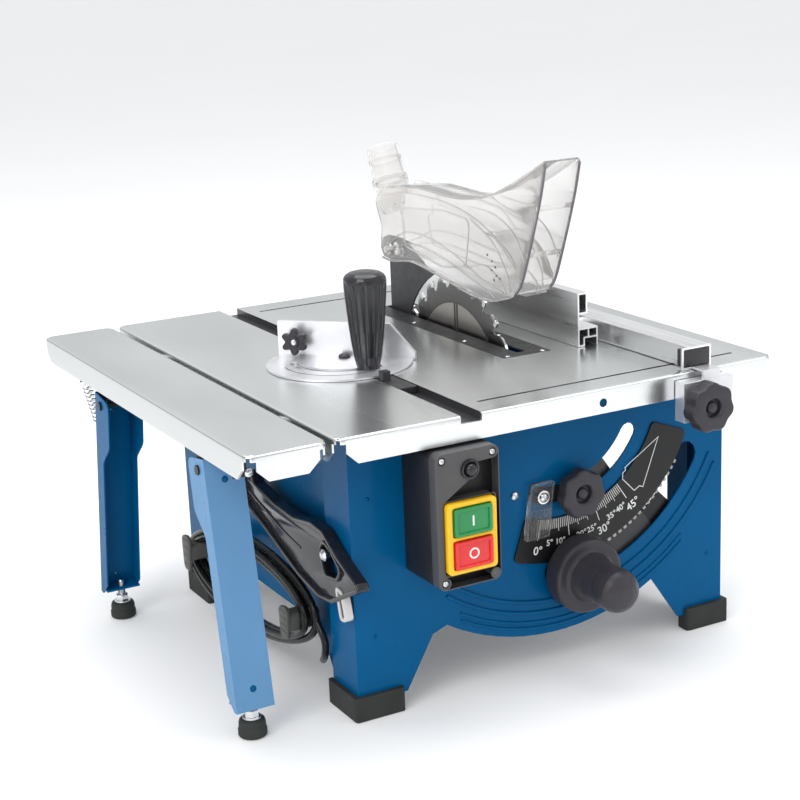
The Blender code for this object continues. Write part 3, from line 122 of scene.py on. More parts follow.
def new_ramp(tree, source, stops):
    """Colours along a value. stops are (position, colour) pairs."""
    ramp = new_node(tree, "ValToRGB", {"Fac": source})
    while len(ramp.color_ramp.elements) < len(stops):
        ramp.color_ramp.elements.new(0.5)
    for element, (position, colour) in zip(ramp.color_ramp.elements, stops):
        element.position = position
        element.color = (*colour, 1)
    return ramp.outputs["Color"]


class Finish:
    """A material with a Principled shader, textured by the place on the piece. LOOKS keeps it by its name."""

    def __init__(self, name, **inputs):
        self.material = LOOKS[name] = bpy.data.materials.new(name)
        self.material.use_nodes = True
        self.tree = self.material.node_tree
        self.shader = self.tree.nodes["Principled BSDF"]
        self.place = self.add("TexCoord").outputs["Object"]
        for key, value in inputs.items():
            self.shader.inputs[key.replace("_", " ")].default_value = value

    def add(self, kind, inputs=(), **settings):
        return new_node(self.tree, kind, inputs, **settings)

    def feed(self, source, name):
        self.tree.links.new(source, self.shader.inputs[name])

    def maths(self, operation, first, second):
        return self.add("Math", {0: first, 1: second}, operation=operation).outputs["Value"]

    def noise(self, scale, stretch=(1, 1, 1), detail=3, roughness=0.55):
        """Noise whose grain is 1/scale metres, squeezed along each axis by stretch."""
        place = self.add("Mapping", {"Vector": self.place, "Scale": stretch}).outputs["Vector"]
        values = {"Vector": place, "Scale": scale, "Detail": detail, "Roughness": roughness}
        return self.add("TexNoise", values).outputs["Fac"]

    def colour(self, source, stops):
        self.feed(new_ramp(self.tree, source, stops), "Base Color")

    def inside(self, low, high):
        """1 inside the box between two corners, in metres, and 0 outside it."""
        shifted = self.add("VectorMath", {0: self.place, 1: (low + high) / 2}, operation="SUBTRACT")
        size = self.add("VectorMath", {0: shifted.outputs["Vector"]}, operation="ABSOLUTE")
        axes = self.add("SeparateXYZ", {"Vector": size.outputs["Vector"]})
        found = 1
        for axis, reach in zip("XYZ", (high - low) / 2):
            found = self.maths("MULTIPLY", found, self.maths("LESS_THAN", axes.outputs[axis], reach))
        return found

    def blend(self, share, source, colour):
        """A mix from a colour source to a plain colour."""
        mix = self.add("Mix", {"Factor": share, "A": source, "B": (*colour, 1)}, data_type="RGBA")
        return mix.outputs["Result"]

    def rough(self, source, low, high):
        spread = {"Value": source, "From Min": 0.3, "From Max": 0.7, "To Min": low, "To Max": high}
        self.feed(self.add("MapRange", spread).outputs["Result"], "Roughness")

    def bump(self, source, height, strength):
        bump = self.add("Bump", {"Strength": strength, "Distance": height, "Height": source})
        self.feed(bump.outputs["Normal"], "Normal")


def shades(colour, spread):
    """A darker and a lighter stop round a colour."""
    dark = tuple(max(0, c * (1 - spread)) for c in colour)
    light = tuple(min(1, c * (1 + spread)) for c in colour)
    return [(0.3, dark), (0.7, light)]


def blue_paint(name, colour):
    made = Finish(name, Coat_Weight=0.07, Coat_Roughness=0.06, Specular_IOR_Level=0.05)
    made.colour(made.noise(9), shades(colour, 0.06))
    made.rough(made.noise(40), 0.26, 0.34)
    made.bump(made.noise(420, detail=1), 0.00003, 0.15)


def galvanised():
    """Zinc-coated sheet, with painted shade: duller where it faces left, and dark under the table's top, in
    its slots and grooves.
    """
    made = Finish("galvanised_steel")
    zinc = new_ramp(made.tree, made.noise(14, (1, 0.35, 1)), shades((0.80, 0.82, 0.815), 0.035))
    facing = made.add("SeparateXYZ", {"Vector": made.add("NewGeometry").outputs["Normal"]})
    # Painted shade: faces turned to the left get a darker zinc colour.
    left_face_shade = made.maths("LESS_THAN", facing.outputs["X"], -0.7)
    sheet = made.blend(left_face_shade, zinc, (0.60, 0.615, 0.612))
    # Painted shade: inside the table, under its top, the sheet is dark and not metallic.
    recess_shade = made.inside(
        at(TABLE_LOW.x + RECESS_EDGE, TABLE_LOW.y + RECESS_EDGE, TABLE_TOP - RECESS_DEPTH),
        at(TABLE_HIGH.x - RECESS_EDGE, TABLE_HIGH.y - RECESS_EDGE, TABLE_TOP - 0.3),
    )
    made.feed(made.blend(recess_shade, sheet, (0.035, 0.035, 0.038)), "Base Color")
    made.feed(made.maths("SUBTRACT", 1, recess_shade), "Metallic")
    made.rough(made.noise(14, (1, 0.3, 1), 2, 0.4), 0.23, 0.29)
    made.bump(made.noise(240, (1, 0.2, 1), 1), 0.00002, 0.05)


def pale_aluminium():
    """Bead-blasted, lightly anodised sheet: brighter and duller than the table."""
    made = Finish("pale_aluminium", Metallic=0.75, Specular_IOR_Level=0.5)
    made.colour(made.noise(30), shades((0.76, 0.76, 0.785), 0.03))
    made.rough(made.noise(120), 0.30, 0.42)
    made.bump(made.noise(1500), 0.00003, 0.3)


def brushed(name, colour, roughness, along=(1, 0.04, 1)):
    made = Finish(name, Metallic=1)
    made.colour(made.noise(60, along, 4), shades(colour, 0.06))
    made.rough(made.noise(240, along), roughness * 0.85, roughness * 1.2)
    made.bump(made.noise(1800, along), 0.00004, 0.3)


def dark_steel():
    made = Finish("dark_steel", Metallic=0.35, Specular_IOR_Level=0.5)
    made.colour(made.noise(50), shades((0.044, 0.044, 0.047), 0.14))
    made.rough(made.noise(120), 0.36, 0.5)
    made.bump(made.noise(1500), 0.00003, 0.4)


def plastic(name, colour, roughness, grain=2200, depth=0.00005, coat=0):
    """Moulded plastic: its grain shows as a fine bump and its colour varies a little."""
    made = Finish(name, Specular_IOR_Level=0.35, Coat_Weight=coat, Coat_Roughness=0.06)
    made.colour(made.noise(25), shades(colour, 0.07))
    made.rough(made.noise(90), roughness * 0.88, roughness * 1.12)
    made.bump(made.noise(grain, detail=2), depth, 0.5)


def rubber():
    made = Finish("foot_rubber", Specular_IOR_Level=0.3)
    made.colour(made.noise(45), shades((0.030, 0.034, 0.032), 0.2))
    made.rough(made.noise(90), 0.62, 0.82)
    made.bump(made.noise(1300), 0.00008, 0.6)


def clear_plastic(name, share):
    made = Finish(name, IOR=1.18, Transmission_Weight=share)
    made.colour(made.noise(18), [(0.3, (0.93, 0.915, 0.905)), (0.7, (0.96, 0.95, 0.94))])
    made.rough(made.noise(40), 0.03, 0.10)
    made.bump(made.noise(60), 0.0002, 0.12)


def blade_steel():
    """Ground steel: a brownish polished plate and a darker, matt rim, with fine rings from grinding."""
    made = Finish("blade_steel", Metallic=1, Anisotropic=0.5)
    centred = made.add("Mapping", {"Vector": made.place, "Location": -at(*ARBOR)}).outputs["Vector"]
    reach = made.add("VectorMath", {0: centred}, operation="LENGTH").outputs["Value"]
    made.colour(made.maths("DIVIDE", reach, 0.11), [
        (0, (0.36, 0.335, 0.31)), (0.722, (0.47, 0.44, 0.41)), (0.728, (0.16, 0.155, 0.15)),
        (0.92, (0.20, 0.195, 0.19)), (0.95, (0.55, 0.55, 0.54)),
    ])
    made.rough(made.noise(60), 0.26, 0.36)
    wave = {"Vector": centred, "Scale": 260, "Distortion": 0.6}
    rings = made.add("TexWave", wave, wave_type="RINGS", rings_direction="X")
    made.bump(rings.outputs["Fac"], 0.00003, 0.25)


def printed(name, colour):
    """Ink or a moulded symbol, with a slight unevenness. Two of the inks also serve for painted shade and a
    painted reflection.
    """
    made = Finish(name, Specular_IOR_Level=0.4)
    made.colour(made.noise(200), shades(colour, 0.05))
    made.rough(made.noise(300), 0.36, 0.44)


def floor_finish():
    glow = {"Emission_Color": (1, 1, 1, 1), "Emission_Strength": 0.13}
    made = Finish("floor_finish", Specular_IOR_Level=0.15, **glow)
    made.colour(made.noise(1.2), [(0.3, (0.86, 0.86, 0.86)), (0.7, (0.88, 0.88, 0.88))])
    made.rough(made.noise(3), 0.7, 0.8)


blue_paint("blue_paint", (0.0002, 0.094, 0.245))
# A lighter copy of the blue paint, for the front leg: painted light on its web.
blue_paint("blue_paint_painted_light", (0.125, 0.28, 0.49))
galvanised()
pale_aluminium()
brushed("satin_aluminium", (0.92, 0.925, 0.93), 0.3)
dark_steel()
brushed("bright_steel", (0.74, 0.74, 0.75), 0.24, (1, 1, 0.2))
brushed("grey_steel", (0.33, 0.32, 0.31), 0.38, (1, 1, 1))
blade_steel()
brushed("carbide_tip", (0.88, 0.88, 0.86), 0.22, (1, 1, 1))
plastic("black_paint", (0.006, 0.006, 0.007), 0.36, 1200, 0.00002)
plastic("motor_paint", (0.05, 0.053, 0.058), 0.45, 1400, 0.00006)
plastic("knob_plastic", (0.036, 0.033, 0.040), 0.36)
plastic("gloss_black_plastic", (0.016, 0.016, 0.02), 0.16, 300, 0.00003, 0.3)
plastic("box_plastic", (0.014, 0.0135, 0.0145), 0.42, 1600, 0.00006)
plastic("lid_plastic", (0.075, 0.074, 0.076), 0.36, 1600)
plastic("cord_sheath", (0.008, 0.008, 0.008), 0.26, 500, 0.00003)
plastic("hook_plastic", (0.085, 0.085, 0.078), 0.45)
plastic("strap_vinyl", (0.62, 0.60, 0.60), 0.25, 700, 0.00004, 0.3)
plastic("yellow_plastic", (0.93, 0.53, 0.012), 0.3, 900, 0.00003, 0.3)
plastic("green_plastic", (0.008, 0.25, 0.065), 0.26, 900, 0.00002, 0.4)
plastic("red_plastic", (0.72, 0.022, 0.022), 0.26, 900, 0.00002, 0.4)
plastic("guard_edge_tint", (0.13, 0.12, 0.135), 0.2, 900, 0.00002)
clear_plastic("clear_plastic", 0.88)
clear_plastic("clear_pointer", 0.97)
rubber()
printed("white_ink", (0.82, 0.82, 0.80))
# This ink also colours the painted shade along the mitre head's arc slot.
printed("dark_ink", (0.03, 0.03, 0.03))
# This ink also colours a painted reflection on the saw blade.
printed("blade_ink_and_reflection", (0.05, 0.045, 0.04))
floor_finish()


# ---------------- mesh tools

def finished(shape, near=1e-7):
    """Welds, turns faces outwards and returns the mesh."""
    bmesh.ops.remove_doubles(shape, verts=shape.verts, dist=near)
    bmesh.ops.recalc_face_normals(shape, faces=shape.faces)
    mesh = bpy.data.meshes.new("shape")
    shape.to_mesh(mesh)
    shape.free()
    return mesh


def piece(name, mesh, look, body, replaced=(), sharp=35):
    """Adds a piece that rides on a CAD body, with a finish from LOOKS, in place of the replaced nodes."""
    made = bpy.data.objects.new(name, mesh)
    bpy.context.scene.collection.objects.link(made)
    mesh.name = name
    mesh.materials.append(LOOKS[look])
    mesh.shade_smooth()
    mesh.set_sharp_from_angle(angle=math.radians(sharp))
    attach(made, body)
    if replaced:
        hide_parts(*replaced)


def joined(meshes):
    shape = bmesh.new()
    for mesh in meshes:
        shape.from_mesh(mesh)
        bpy.data.meshes.remove(mesh)
    made = bpy.data.meshes.new("joined")
    shape.to_mesh(made)
    shape.free()
    return made


def mesh_of(curve, near=1e-7):
    """The mesh of a curve or a text, with its caps welded."""
    made = bpy.data.objects.new("curve", curve)
    bpy.context.scene.collection.objects.link(made)
    bpy.context.view_layer.update()
    graph = bpy.context.evaluated_depsgraph_get()
    mesh = bpy.data.meshes.new_from_object(made.evaluated_get(graph))
    bpy.data.objects.remove(made, do_unlink=True)
    bpy.data.curves.remove(curve)
    shape = bmesh.new()
    shape.from_mesh(mesh)
    bpy.data.meshes.remove(mesh)
    return finished(shape, near)


def circle(centre, radius, steps=48):
    turn = 2 * math.pi / steps
    x, y = centre
    return [(x + radius * math.cos(turn * i), y + radius * math.sin(turn * i)) for i in range(steps)]


def below(centre, radius, degrees):
    """The point at an angle measured from straight down, towards the right."""
    angle = math.radians(degrees)
    return (centre[0] + radius * math.sin(angle), centre[1] - radius * math.cos(angle))


def arc(centre, radius, start, end, steps):
    return [below(centre, radius, start + (end - start) * i / steps) for i in range(steps + 1)]


def band(centre, inner, outer, start, end, steps):
    return arc(centre, outer, start, end, steps) + arc(centre, inner, end, start, steps)


def rectangle(low, high):
    return [(low[0], low[1]), (high[0], low[1]), (high[0], high[1]), (low[0], high[1])]


def front_of(low, high):
    """The outline of a box as seen from the front."""
    return rectangle((low.x, low.z), (high.x, high.z))


def rounded(points, radius, steps=6):
    """The outline with an arc at each corner. A corner can state its own radius as a third number."""
    outline = []
    for i, point in enumerate(points):
        here = Vector(point[:2])
        size = point[2] if len(point) > 2 else radius
        before = Vector(points[i - 1][:2]) - here
        after = Vector(points[(i + 1) % len(points)][:2]) - here
        half = before.angle(after) / 2
        if size <= 0 or half > math.radians(88):
            outline.append(tuple(here))
            continue
        reach = min(size / math.tan(half), 0.45 * before.length, 0.45 * after.length)
        size = reach * math.tan(half)
        centre = here + (before.normalized() + after.normalized()).normalized() * (size / math.sin(half))
        first = here + before.normalized() * reach - centre
        last = here + after.normalized() * reach - centre
        sweep = first.angle_signed(last)
        for step in range(steps + 1):
            outline.append(tuple(centre + Matrix.Rotation(-sweep * step / steps, 2) @ first))
    return outline


PLANES = {
    "XY": Matrix.Identity(4),
    "XZ": Matrix(((1, 0, 0, 0), (0, 0, -1, 0), (0, 1, 0, 0), (0, 0, 0, 1))),
    "YZ": Matrix(((0, 0, 1, 0), (1, 0, 0, 0), (0, 1, 0, 0), (0, 0, 0, 1))),
}


def plate(outlines, plane, low, high, bevel=0, segments=3):
    """A flat piece with round edges: outlines lie in the plane, and it runs from low to high across it.

    The curve is drawn at a unit to the millimetre and scaled afterwards. A round edge widens each hole
    by the bevel, and the fill leaves gaps where a widened hole crosses another outline.
    """
    curve = bpy.data.curves.new("outline", "CURVE")
    curve.dimensions = "2D"
    curve.fill_mode = "BOTH"
    curve.extrude = abs(high - low) / 2 - bevel
    curve.bevel_depth = bevel
    curve.bevel_resolution = max(0, segments - 1)
    curve.offset = -bevel
    for outline in outlines:
        spline = curve.splines.new("POLY")
        spline.points.add(len(outline) - 1)
        for point, (u, v) in zip(spline.points, outline):
            point.co = (u, v, 0, 1)
        spline.use_cyclic_u = True
    mesh = mesh_of(curve, 1e-4)
    mesh.transform(Matrix.Scale(MM, 4))
    across = Vector([0 if axis in plane else (low + high) / 2 for axis in "XYZ"])
    mesh.transform(Matrix.Translation(HOME + across * MM) @ PLANES[plane])
    return mesh


def block(low, high, bevel=0):
    """A box between two local corners, with round edges."""
    shape = bmesh.new()
    size = [(b - a) * MM for a, b in zip(low, high)]
    middle = at(*[(a + b) / 2 for a, b in zip(low, high)])
    bmesh.ops.create_cube(shape, size=1, matrix=Matrix.Translation(middle) @ Matrix.Diagonal((*size, 1)))
    if bevel > 0:
        edges = shape.edges[:]
        bmesh.ops.bevel(shape, geom=edges, offset=bevel * MM, segments=2, profile=0.5, affect="EDGES")
    return finished(shape)


def turned(profile, origin, direction, steps=64):
    """A turned piece. profile holds (radius, height) pairs; height runs along direction from origin."""
    shape = bmesh.new()
    rings = []
    for radius, height in profile:
        corners = circle((0, 0), radius, steps) if radius > 0 else [(0, 0)]
        rings.append([shape.verts.new((x * MM, y * MM, height * MM)) for x, y in corners])
    pairs = list(zip(rings, rings[1:]))
    if profile[0][0] > 0 and profile[-1][0] > 0:
        pairs.append((rings[-1], rings[0]))
    for first, last in pairs:
        for i in range(steps):
            j = i + 1
            corners = [first[i % len(first)], last[i % len(last)], last[j % len(last)], first[j % len(first)]]
            corners = list(dict.fromkeys(corners))
            if len(corners) > 2:
                shape.faces.new(corners)
    turn = Vector(direction).to_track_quat("Z", "Y").to_matrix().to_4x4()
    shape.transform(Matrix.Translation(at(*origin)) @ turn)
    return finished(shape)


def eased(profile, radius):
    """A turned profile with its corners rounded, apart from its ends."""
    outline = [profile[0][:2]]
    for before, point, after in zip(profile, profile[1:], profile[2:]):
        size = point[2] if len(point) > 2 else radius
        outline += rounded([(*before[:2], 0), (*point[:2], size), (*after[:2], 0)], 0, 4)[1:-1]
    return outline + [profile[-1][:2]]


def tube(points, radius, sides):
    """A round wire along local points."""
    curve = bpy.data.curves.new("wire", "CURVE")
    curve.dimensions = "3D"
    curve.bevel_depth = radius * MM
    curve.bevel_resolution = sides // 4
    curve.use_fill_caps = True
    spline = curve.splines.new("POLY")
    spline.points.add(len(points) - 1)
    for point, place in zip(spline.points, points):
        point.co = (*at(*place), 1)
    return mesh_of(curve)


def strip(path, plane, low, high, thickness):
    """A sheet that follows a path in the plane and runs from low to high across it."""
    left, right = [], []
    for i, point in enumerate(path):
        along = (Vector(path[min(i + 1, len(path) - 1)]) - Vector(path[max(i - 1, 0)])).normalized()
        offset = Vector((-along.y, along.x)) * thickness / 2
        left.append(tuple(Vector(point) + offset))
        right.append(tuple(Vector(point) - offset))
    return plate([left + right[::-1]], plane, low, high, min(0.3, thickness * 0.3), 2)


def smooth_path(points, steps=8):
    """A Catmull-Rom line through the points."""
    path = []
    for i in range(len(points) - 1):
        p0, p1, p2, p3 = (Vector(points[min(max(0, i + k), len(points) - 1)]) for k in (-1, 0, 1, 2))
        for step in range(steps):
            t = step / steps
            path.append(tuple(
                0.5 * (2 * p1 + (p2 - p0) * t + (2 * p0 - 5 * p1 + 4 * p2 - p3) * t * t
                       + (3 * p1 - p0 - 3 * p2 + p3) * t ** 3)
            ))
    return path + [tuple(points[-1])]


def inset(points, distance):
    """The outline moved inwards (or outwards, below zero), with its corners kept."""
    area = sum(a[0] * b[1] - b[0] * a[1] for a, b in zip([points[-1], *points], points))
    side = math.copysign(1, area)
    shifted = []
    for i, point in enumerate(points):
        here = Vector(point[:2])
        before = (here - Vector(points[i - 1][:2])).normalized()
        after = (Vector(points[(i + 1) % len(points)][:2]) - here).normalized()
        normal = Vector((-before.y - after.y, before.x + after.x)).normalized() * side
        reach = distance / max(0.35, normal.dot(Vector((-before.y, before.x)) * side))
        shifted.append((*(here + normal * reach), *point[2:]))
    return shifted


def lobed(centre, radius, depth, lobes, steps=112):
    """The outline of a hand knob."""
    outline = []
    for i in range(steps):
        angle = 2 * math.pi * i / steps
        reach = radius - depth * (0.5 - 0.5 * math.cos(lobes * angle)) ** 1.2
        outline.append((centre[0] + reach * math.sin(angle), centre[1] + reach * math.cos(angle)))
    return outline


def in_head(mesh):
    """Turns a mesh made round the mitre gauge's own straight position to the angle that it stands at."""
    turn = Matrix.Translation(at(MITRE.x, MITRE.y, 0)) @ Matrix.Rotation(math.radians(MITRE_ANGLE), 4, "Z")
    mesh.transform(turn @ Matrix.Translation(-HOME))
    return mesh


# ---------------- kept CAD nodes

SOFT_EDGES = {
    0.2: ("rip_fence_profile",),
    0.25: ("mitre_head", "mitre_fence_plate", "mitre_bar"),
    0.3: ("leg_bracket_front", "leg_bracket_back", "fence_clamp_bracket", "scale_band"),
    0.35: ("front_panel", "back_panel", "left_side_panel", "right_side_panel"),
    0.4: ("main_table", "table_extension", "leg_front", "leg_back"),
    0.5: ("fence_tube",),
    0.8: ("foot_front_left", "foot_front_right", "foot_back_left", "foot_back_right"),
    1.2: ("gear_case",),
}
OTHER_LOOKS = {
    "mitre_head": "pale_aluminium", "mitre_fence_plate": "pale_aluminium", "mitre_bar": "dark_steel",
    # The front leg wears the lighter copy of the blue paint: painted light.
    "fence_clamp_bracket": "pale_aluminium", "leg_front": "blue_paint_painted_light",
}


def soften(made, edge):
    """Smooth shading, and round edges where edge is above zero, all by modifiers."""
    mesh = made.data
    if "custom_normal" in mesh.attributes:
        mesh.attributes.remove(mesh.attributes["custom_normal"])
    mesh.shade_smooth()
    made.modifiers.new("weld", "WELD").merge_threshold = 1e-5
    if edge > 0:
        bevel = made.modifiers.new("edges", "BEVEL")
        bevel.width = edge * MM
        bevel.segments = 2
        bevel.limit_method = "ANGLE"
        bevel.angle_limit = math.radians(40)
    split = made.modifiers.new("split", "EDGE_SPLIT")
    split.split_angle = math.radians(32)
    even = made.modifiers.new("even", "WEIGHTED_NORMAL")
    even.keep_sharp = True
    even.weight = 80


for node, made in frame["nodes"].items():
    for index, old in enumerate(made.data.materials):
        made.data.materials[index] = LOOKS[OTHER_LOOKS.get(node, old.name.split(".")[0])]
    soften(made, next((edge for edge, nodes in SOFT_EDGES.items() if node in nodes), 0))


# ---------------- blade guard

GUARD_X = (span("blade_guard")[0].x, span("blade_guard")[1].x)
WALL = 1.8
GUARD_TOP = [
    (-152, 471), (-143, 466.5), (-122, 456), (-96, 444), (-63, 431), (-26, 423), (18, 419.5), (79, 421),
    (125, 417), (150, 414),
]
GUARD_OUTLINE = [
    (150, 417.5, 8), (125, 417, 20), (79, 421, 30), (18, 419.5, 40), (-26, 423, 40), (-63, 431, 40),
    (-96, 444, 40), (-122, 456, 30), (-155, 471, 2), (-145, 437, 20), (-128, 392, 20), (-111, 353, 20),
    (-95, 336, 6), (-60, 326, 10), (-24, 326.5, 10), (11, 331.5, 20), (46, 336.5, 20), (94, 341.5, 20),
    (136, 336, 10), (158, 337, 6), (166, 347, 6), (163, 371, 10), (176, 396, 10),
]
GUARD_FRONT = [(-153.4, 467), (-145, 437), (-128, 392), (-111, 353), (-97, 338)]
GUARD_BACK = [(174, 396), (162.5, 371), (165, 348), (158, 338.5)]
GUARD_FLANGE = [
    (158, 338.2), (136, 337.2), (94, 342.7), (46, 337.7), (11, 332.7), (-24, 327.7), (-58, 327.2),
    (-92, 335.5),
]
GUARD_FRAME = [(118, 397), (30, 405), (-22, 402), (-12, 352), (36, 345), (112, 356)]
GUARD_RIBS = [
    [(150, 352), (110, 371), (60, 372), (10, 362), (-40, 346), (-80, 338)],
    [(150, 345), (105, 360), (58, 359), (8, 350), (-40, 338), (-66, 331)],
    [(158, 404), (110, 412), (50, 413.5), (-10, 408), (-62, 392), (-104, 362), (-108, 350)],
    [(-22, 402), (-60, 386), (-84, 362), (-92, 341)],
    [(-12, 352), (-46, 360), (-70, 352), (-86, 338)],
    [(-22, 414), (-66, 412), (-100, 398), (-118, 374)],
]
GUARD_DEFLECTOR = [(-108, 352), (-96, 372), (-74, 386), (-48, 392)]
GUARD_BOSSES = ((GUARD.y, GUARD.z, 8.5), (120, 349, 5), (128, 395, 4.2))


def guard_walls():
    """The side walls, with a raised frame and ribs on their left faces. The left one has a flange and bosses.

    The right wall is flat outside, where the fence passes close to it.
    """
    parts = []
    low, high = GUARD_X
    for face in (low, high - WALL):
        parts.append(plate([rounded(GUARD_OUTLINE, 6)], "YZ", face, face + WALL, 0.3, 2))
        ring = [rounded(GUARD_FRAME, 9), rounded(inset(GUARD_FRAME, 2.2), 7)]
        parts.append(plate(ring, "YZ", face - 0.9, face + 0.2, 0.35, 2))
        for path in GUARD_RIBS:
            parts.append(strip(smooth_path(path), "YZ", face - 0.8, face + 0.2, 1.9))
    parts.append(strip(smooth_path(GUARD_FLANGE, 6), "YZ", low - 3.2, low + 0.5, 2))
    for y, z, radius in GUARD_BOSSES:
        boss = [(3.6, -0.2), (radius, -0.2), (radius, 1.2), (radius - 0.9, 2), (3.6, 2)]
        parts.append(turned(boss, (low, y, z), LEFT, 40))
    return parts


def guard_skin():
    """The top and back strips between the walls, a deflector, and the ribs that join the two horns."""
    low, high = GUARD_X[0] + 0.4, GUARD_X[1] - 0.4
    parts = []
    for path, steps, thickness in (
        ([(y, z - 1) for y, z in GUARD_TOP], 8, WALL), (GUARD_BACK, 6, WALL), (GUARD_DEFLECTOR, 6, 1.4)
    ):
        parts.append(strip(smooth_path(path, steps), "YZ", low, high, thickness))
    for y, z in ((-139, 426), (-121, 380), (-103, 343)):
        parts.append(block((low, y - 1.1, z - 2.4), (high, y + 1.1, z + 2.4), 0.7))
    return parts


def guard_spout():
    """The neck and the hose spout, with a collar where they meet."""
    middle = (GUARD_X[0] + GUARD_X[1]) / 2
    neck = [(9.6, 3), (13, 3), (16.5, 18), (19.4, 33), (19.4, 36.8), (17, 36.8), (16.4, 31), (14, 18)]
    along = Vector((0, 18, 39))
    long = along.length
    spout = [
        (14.8, 3), (17.4, 3), (18.6, 5), (18.6, 9), (17.3, 10.6), (16.9, long * 0.62), (17.5, long * 0.64),
        (17.5, long * 0.7), (16.6, long * 0.72), (16.3, long - 0.8), (15.6, long), (14.6, long),
    ]
    return [turned(neck, (middle, 160, 384), (0, 16, 33)), turned(spout, (middle, 173, 411), along)]


def guard_front_edges():
    """The ground front edges of the two horns, darker than the clear walls."""
    parts = []
    for x in (GUARD_X[0] + WALL / 2, GUARD_X[1] - WALL / 2):
        parts.append(tube([(x, y - 1.2, z) for y, z in smooth_path(GUARD_FRONT, 6)], 0.95, 8))
    return joined(parts)


def guard_dots():
    dome = [(0, 0.5), (1, 0.35), (1.25, -0.2), (0, -0.4)]
    places = ((-52, 371), (-60, 366), (-66, 361), (-59, 357), (-68, 353), (-63, 348), (-74, 351))
    return joined([turned(dome, (GUARD_X[0] - 0.05, y, z), LEFT, 16) for y, z in places])


guard_shell = joined(guard_walls() + guard_skin() + guard_spout())
piece("guard_shell", guard_shell, "clear_plastic", "guard", ["blade_guard"])
piece("guard_front_edges", guard_front_edges(), "guard_edge_tint", "guard")
piece("guard_vent_dots", guard_dots(), "dark_ink", "guard")


# ---------------- saw blade

BLADE_LOW, BLADE_HIGH = span("saw_blade")
BLADE_RADIUS = (BLADE_HIGH.y - BLADE_LOW.y) / 2
BLADE_X = (BLADE_LOW.x + BLADE_HIGH.x) / 2
HUB = (ARBOR.y, ARBOR.z)
TEETH = 24
BORE = 8
# A point of a tooth, of a slit in its gullet or of its tip is (share of the pitch, reach past the rim).
TOOTH = [
    (0, -0.4), (0.10, -1), (0.22, -1.4), (0.34, -3.2), (0.42, -5.4), (0.50, -8.4), (0.58, -10.8),
    (0.66, -12.2), (0.74, -12.6), (0.82, -12), (0.90, -10.4), (0.93, -7.6), (0.95, -5), (0.97, -2.4),
    (0.985, -0.4),
]
GULLET = 0.74
SLIT = [(0.755, -27), (0.735, -28.6), (0.79, -29.4), (0.815, -28), (0.785, -26.6), (0.77, -12.6)]
SLIT_TEETH = (2, 8, 14, 20)
TIP = [(0.80, -7.2), (0.965, -7.2), (1, 0), (0.82, -0.35)]


def blade_place(share, reach):
    return below(HUB, BLADE_RADIUS + reach, -360 * share / TEETH)


def blade_outline():
    """Hooked teeth with rounded gullets, and four narrow expansion slits."""
    outline = []
    for tooth in range(TEETH):
        for share, reach in TOOTH:
            outline.append(blade_place(tooth + share, reach))
            if tooth in SLIT_TEETH and share == GULLET:
                outline += [blade_place(tooth + along, depth) for along, depth in SLIT]
    return outline


def carbide_tips():
    parts = []
    for tooth in range(TEETH):
        outline = [blade_place(tooth + share, reach) for share, reach in TIP]
        parts.append(plate([outline], "YZ", BLADE_X - 1.35, BLADE_X + 1.35, 0.12, 1))
    return joined(parts)


def blade_ring_and_reflection():
    """A thin dark ring and a band down the plate, both generic, on each side; the band's two dark lines are a
    painted reflection.
    """
    parts = []
    y, z = ARBOR.y + 1, ARBOR.z
    ring_and_reflection = [[circle(HUB, 80.2, 96), circle(HUB, 79.2, 96)]]
    # The band's two dark lines are a painted reflection.
    ring_and_reflection += [[rectangle((y + low, z + 30), (y + high, z + 79))] for low, high in ((-4, -0.6), (0.6, 4))]
    for side in (-1, 1):
        x = BLADE_X + side * 1.04
        parts += [plate(outlines, "YZ", *sorted((x, x + side * 0.05))) for outlines in ring_and_reflection]
    return joined(parts)


blade = plate([blade_outline(), circle(HUB, BORE, 64)], "YZ", BLADE_X - 1, BLADE_X + 1, 0.06, 1)
piece("saw_blade_plate", blade, "blade_steel", "spindle", ["saw_blade"], 20)
piece("saw_blade_tips", carbide_tips(), "carbide_tip", "spindle")
piece("saw_blade_ring_and_reflection", blade_ring_and_reflection(), "blade_ink_and_reflection", "spindle")


# ---------------- knobs, handwheel and mitre gauge

HANDWHEEL_PROFILE = [
    (0, 276), (7, 275.4, 4), (13, 273.4, 4), (17.6, 269.8, 4), (20, 265, 4), (20.6, 259, 4), (20.2, 250, 1),
    (18.8, 247.5, 1), (20.4, 232, 8), (23.6, 219.8, 2), (27, 218.6, 1), (33, 219, 0.8), (35.2, 217.6, 1),
    (36, 215, 1), (36, 200, 1), (34.6, 197, 1), (31, 196, 0.5), (10, 196, 0), (10, 193.9, 0), (5.6, 193.9, 0),
    (5.6, 230, 0), (0, 230),
]
handwheel = turned(eased(HANDWHEEL_PROFILE, 1), (WHEEL.x, 0, WHEEL.z), FORWARD, 96)
piece("handwheel_turned", handwheel, "knob_plastic", "wheel", ["handwheel"], 40)


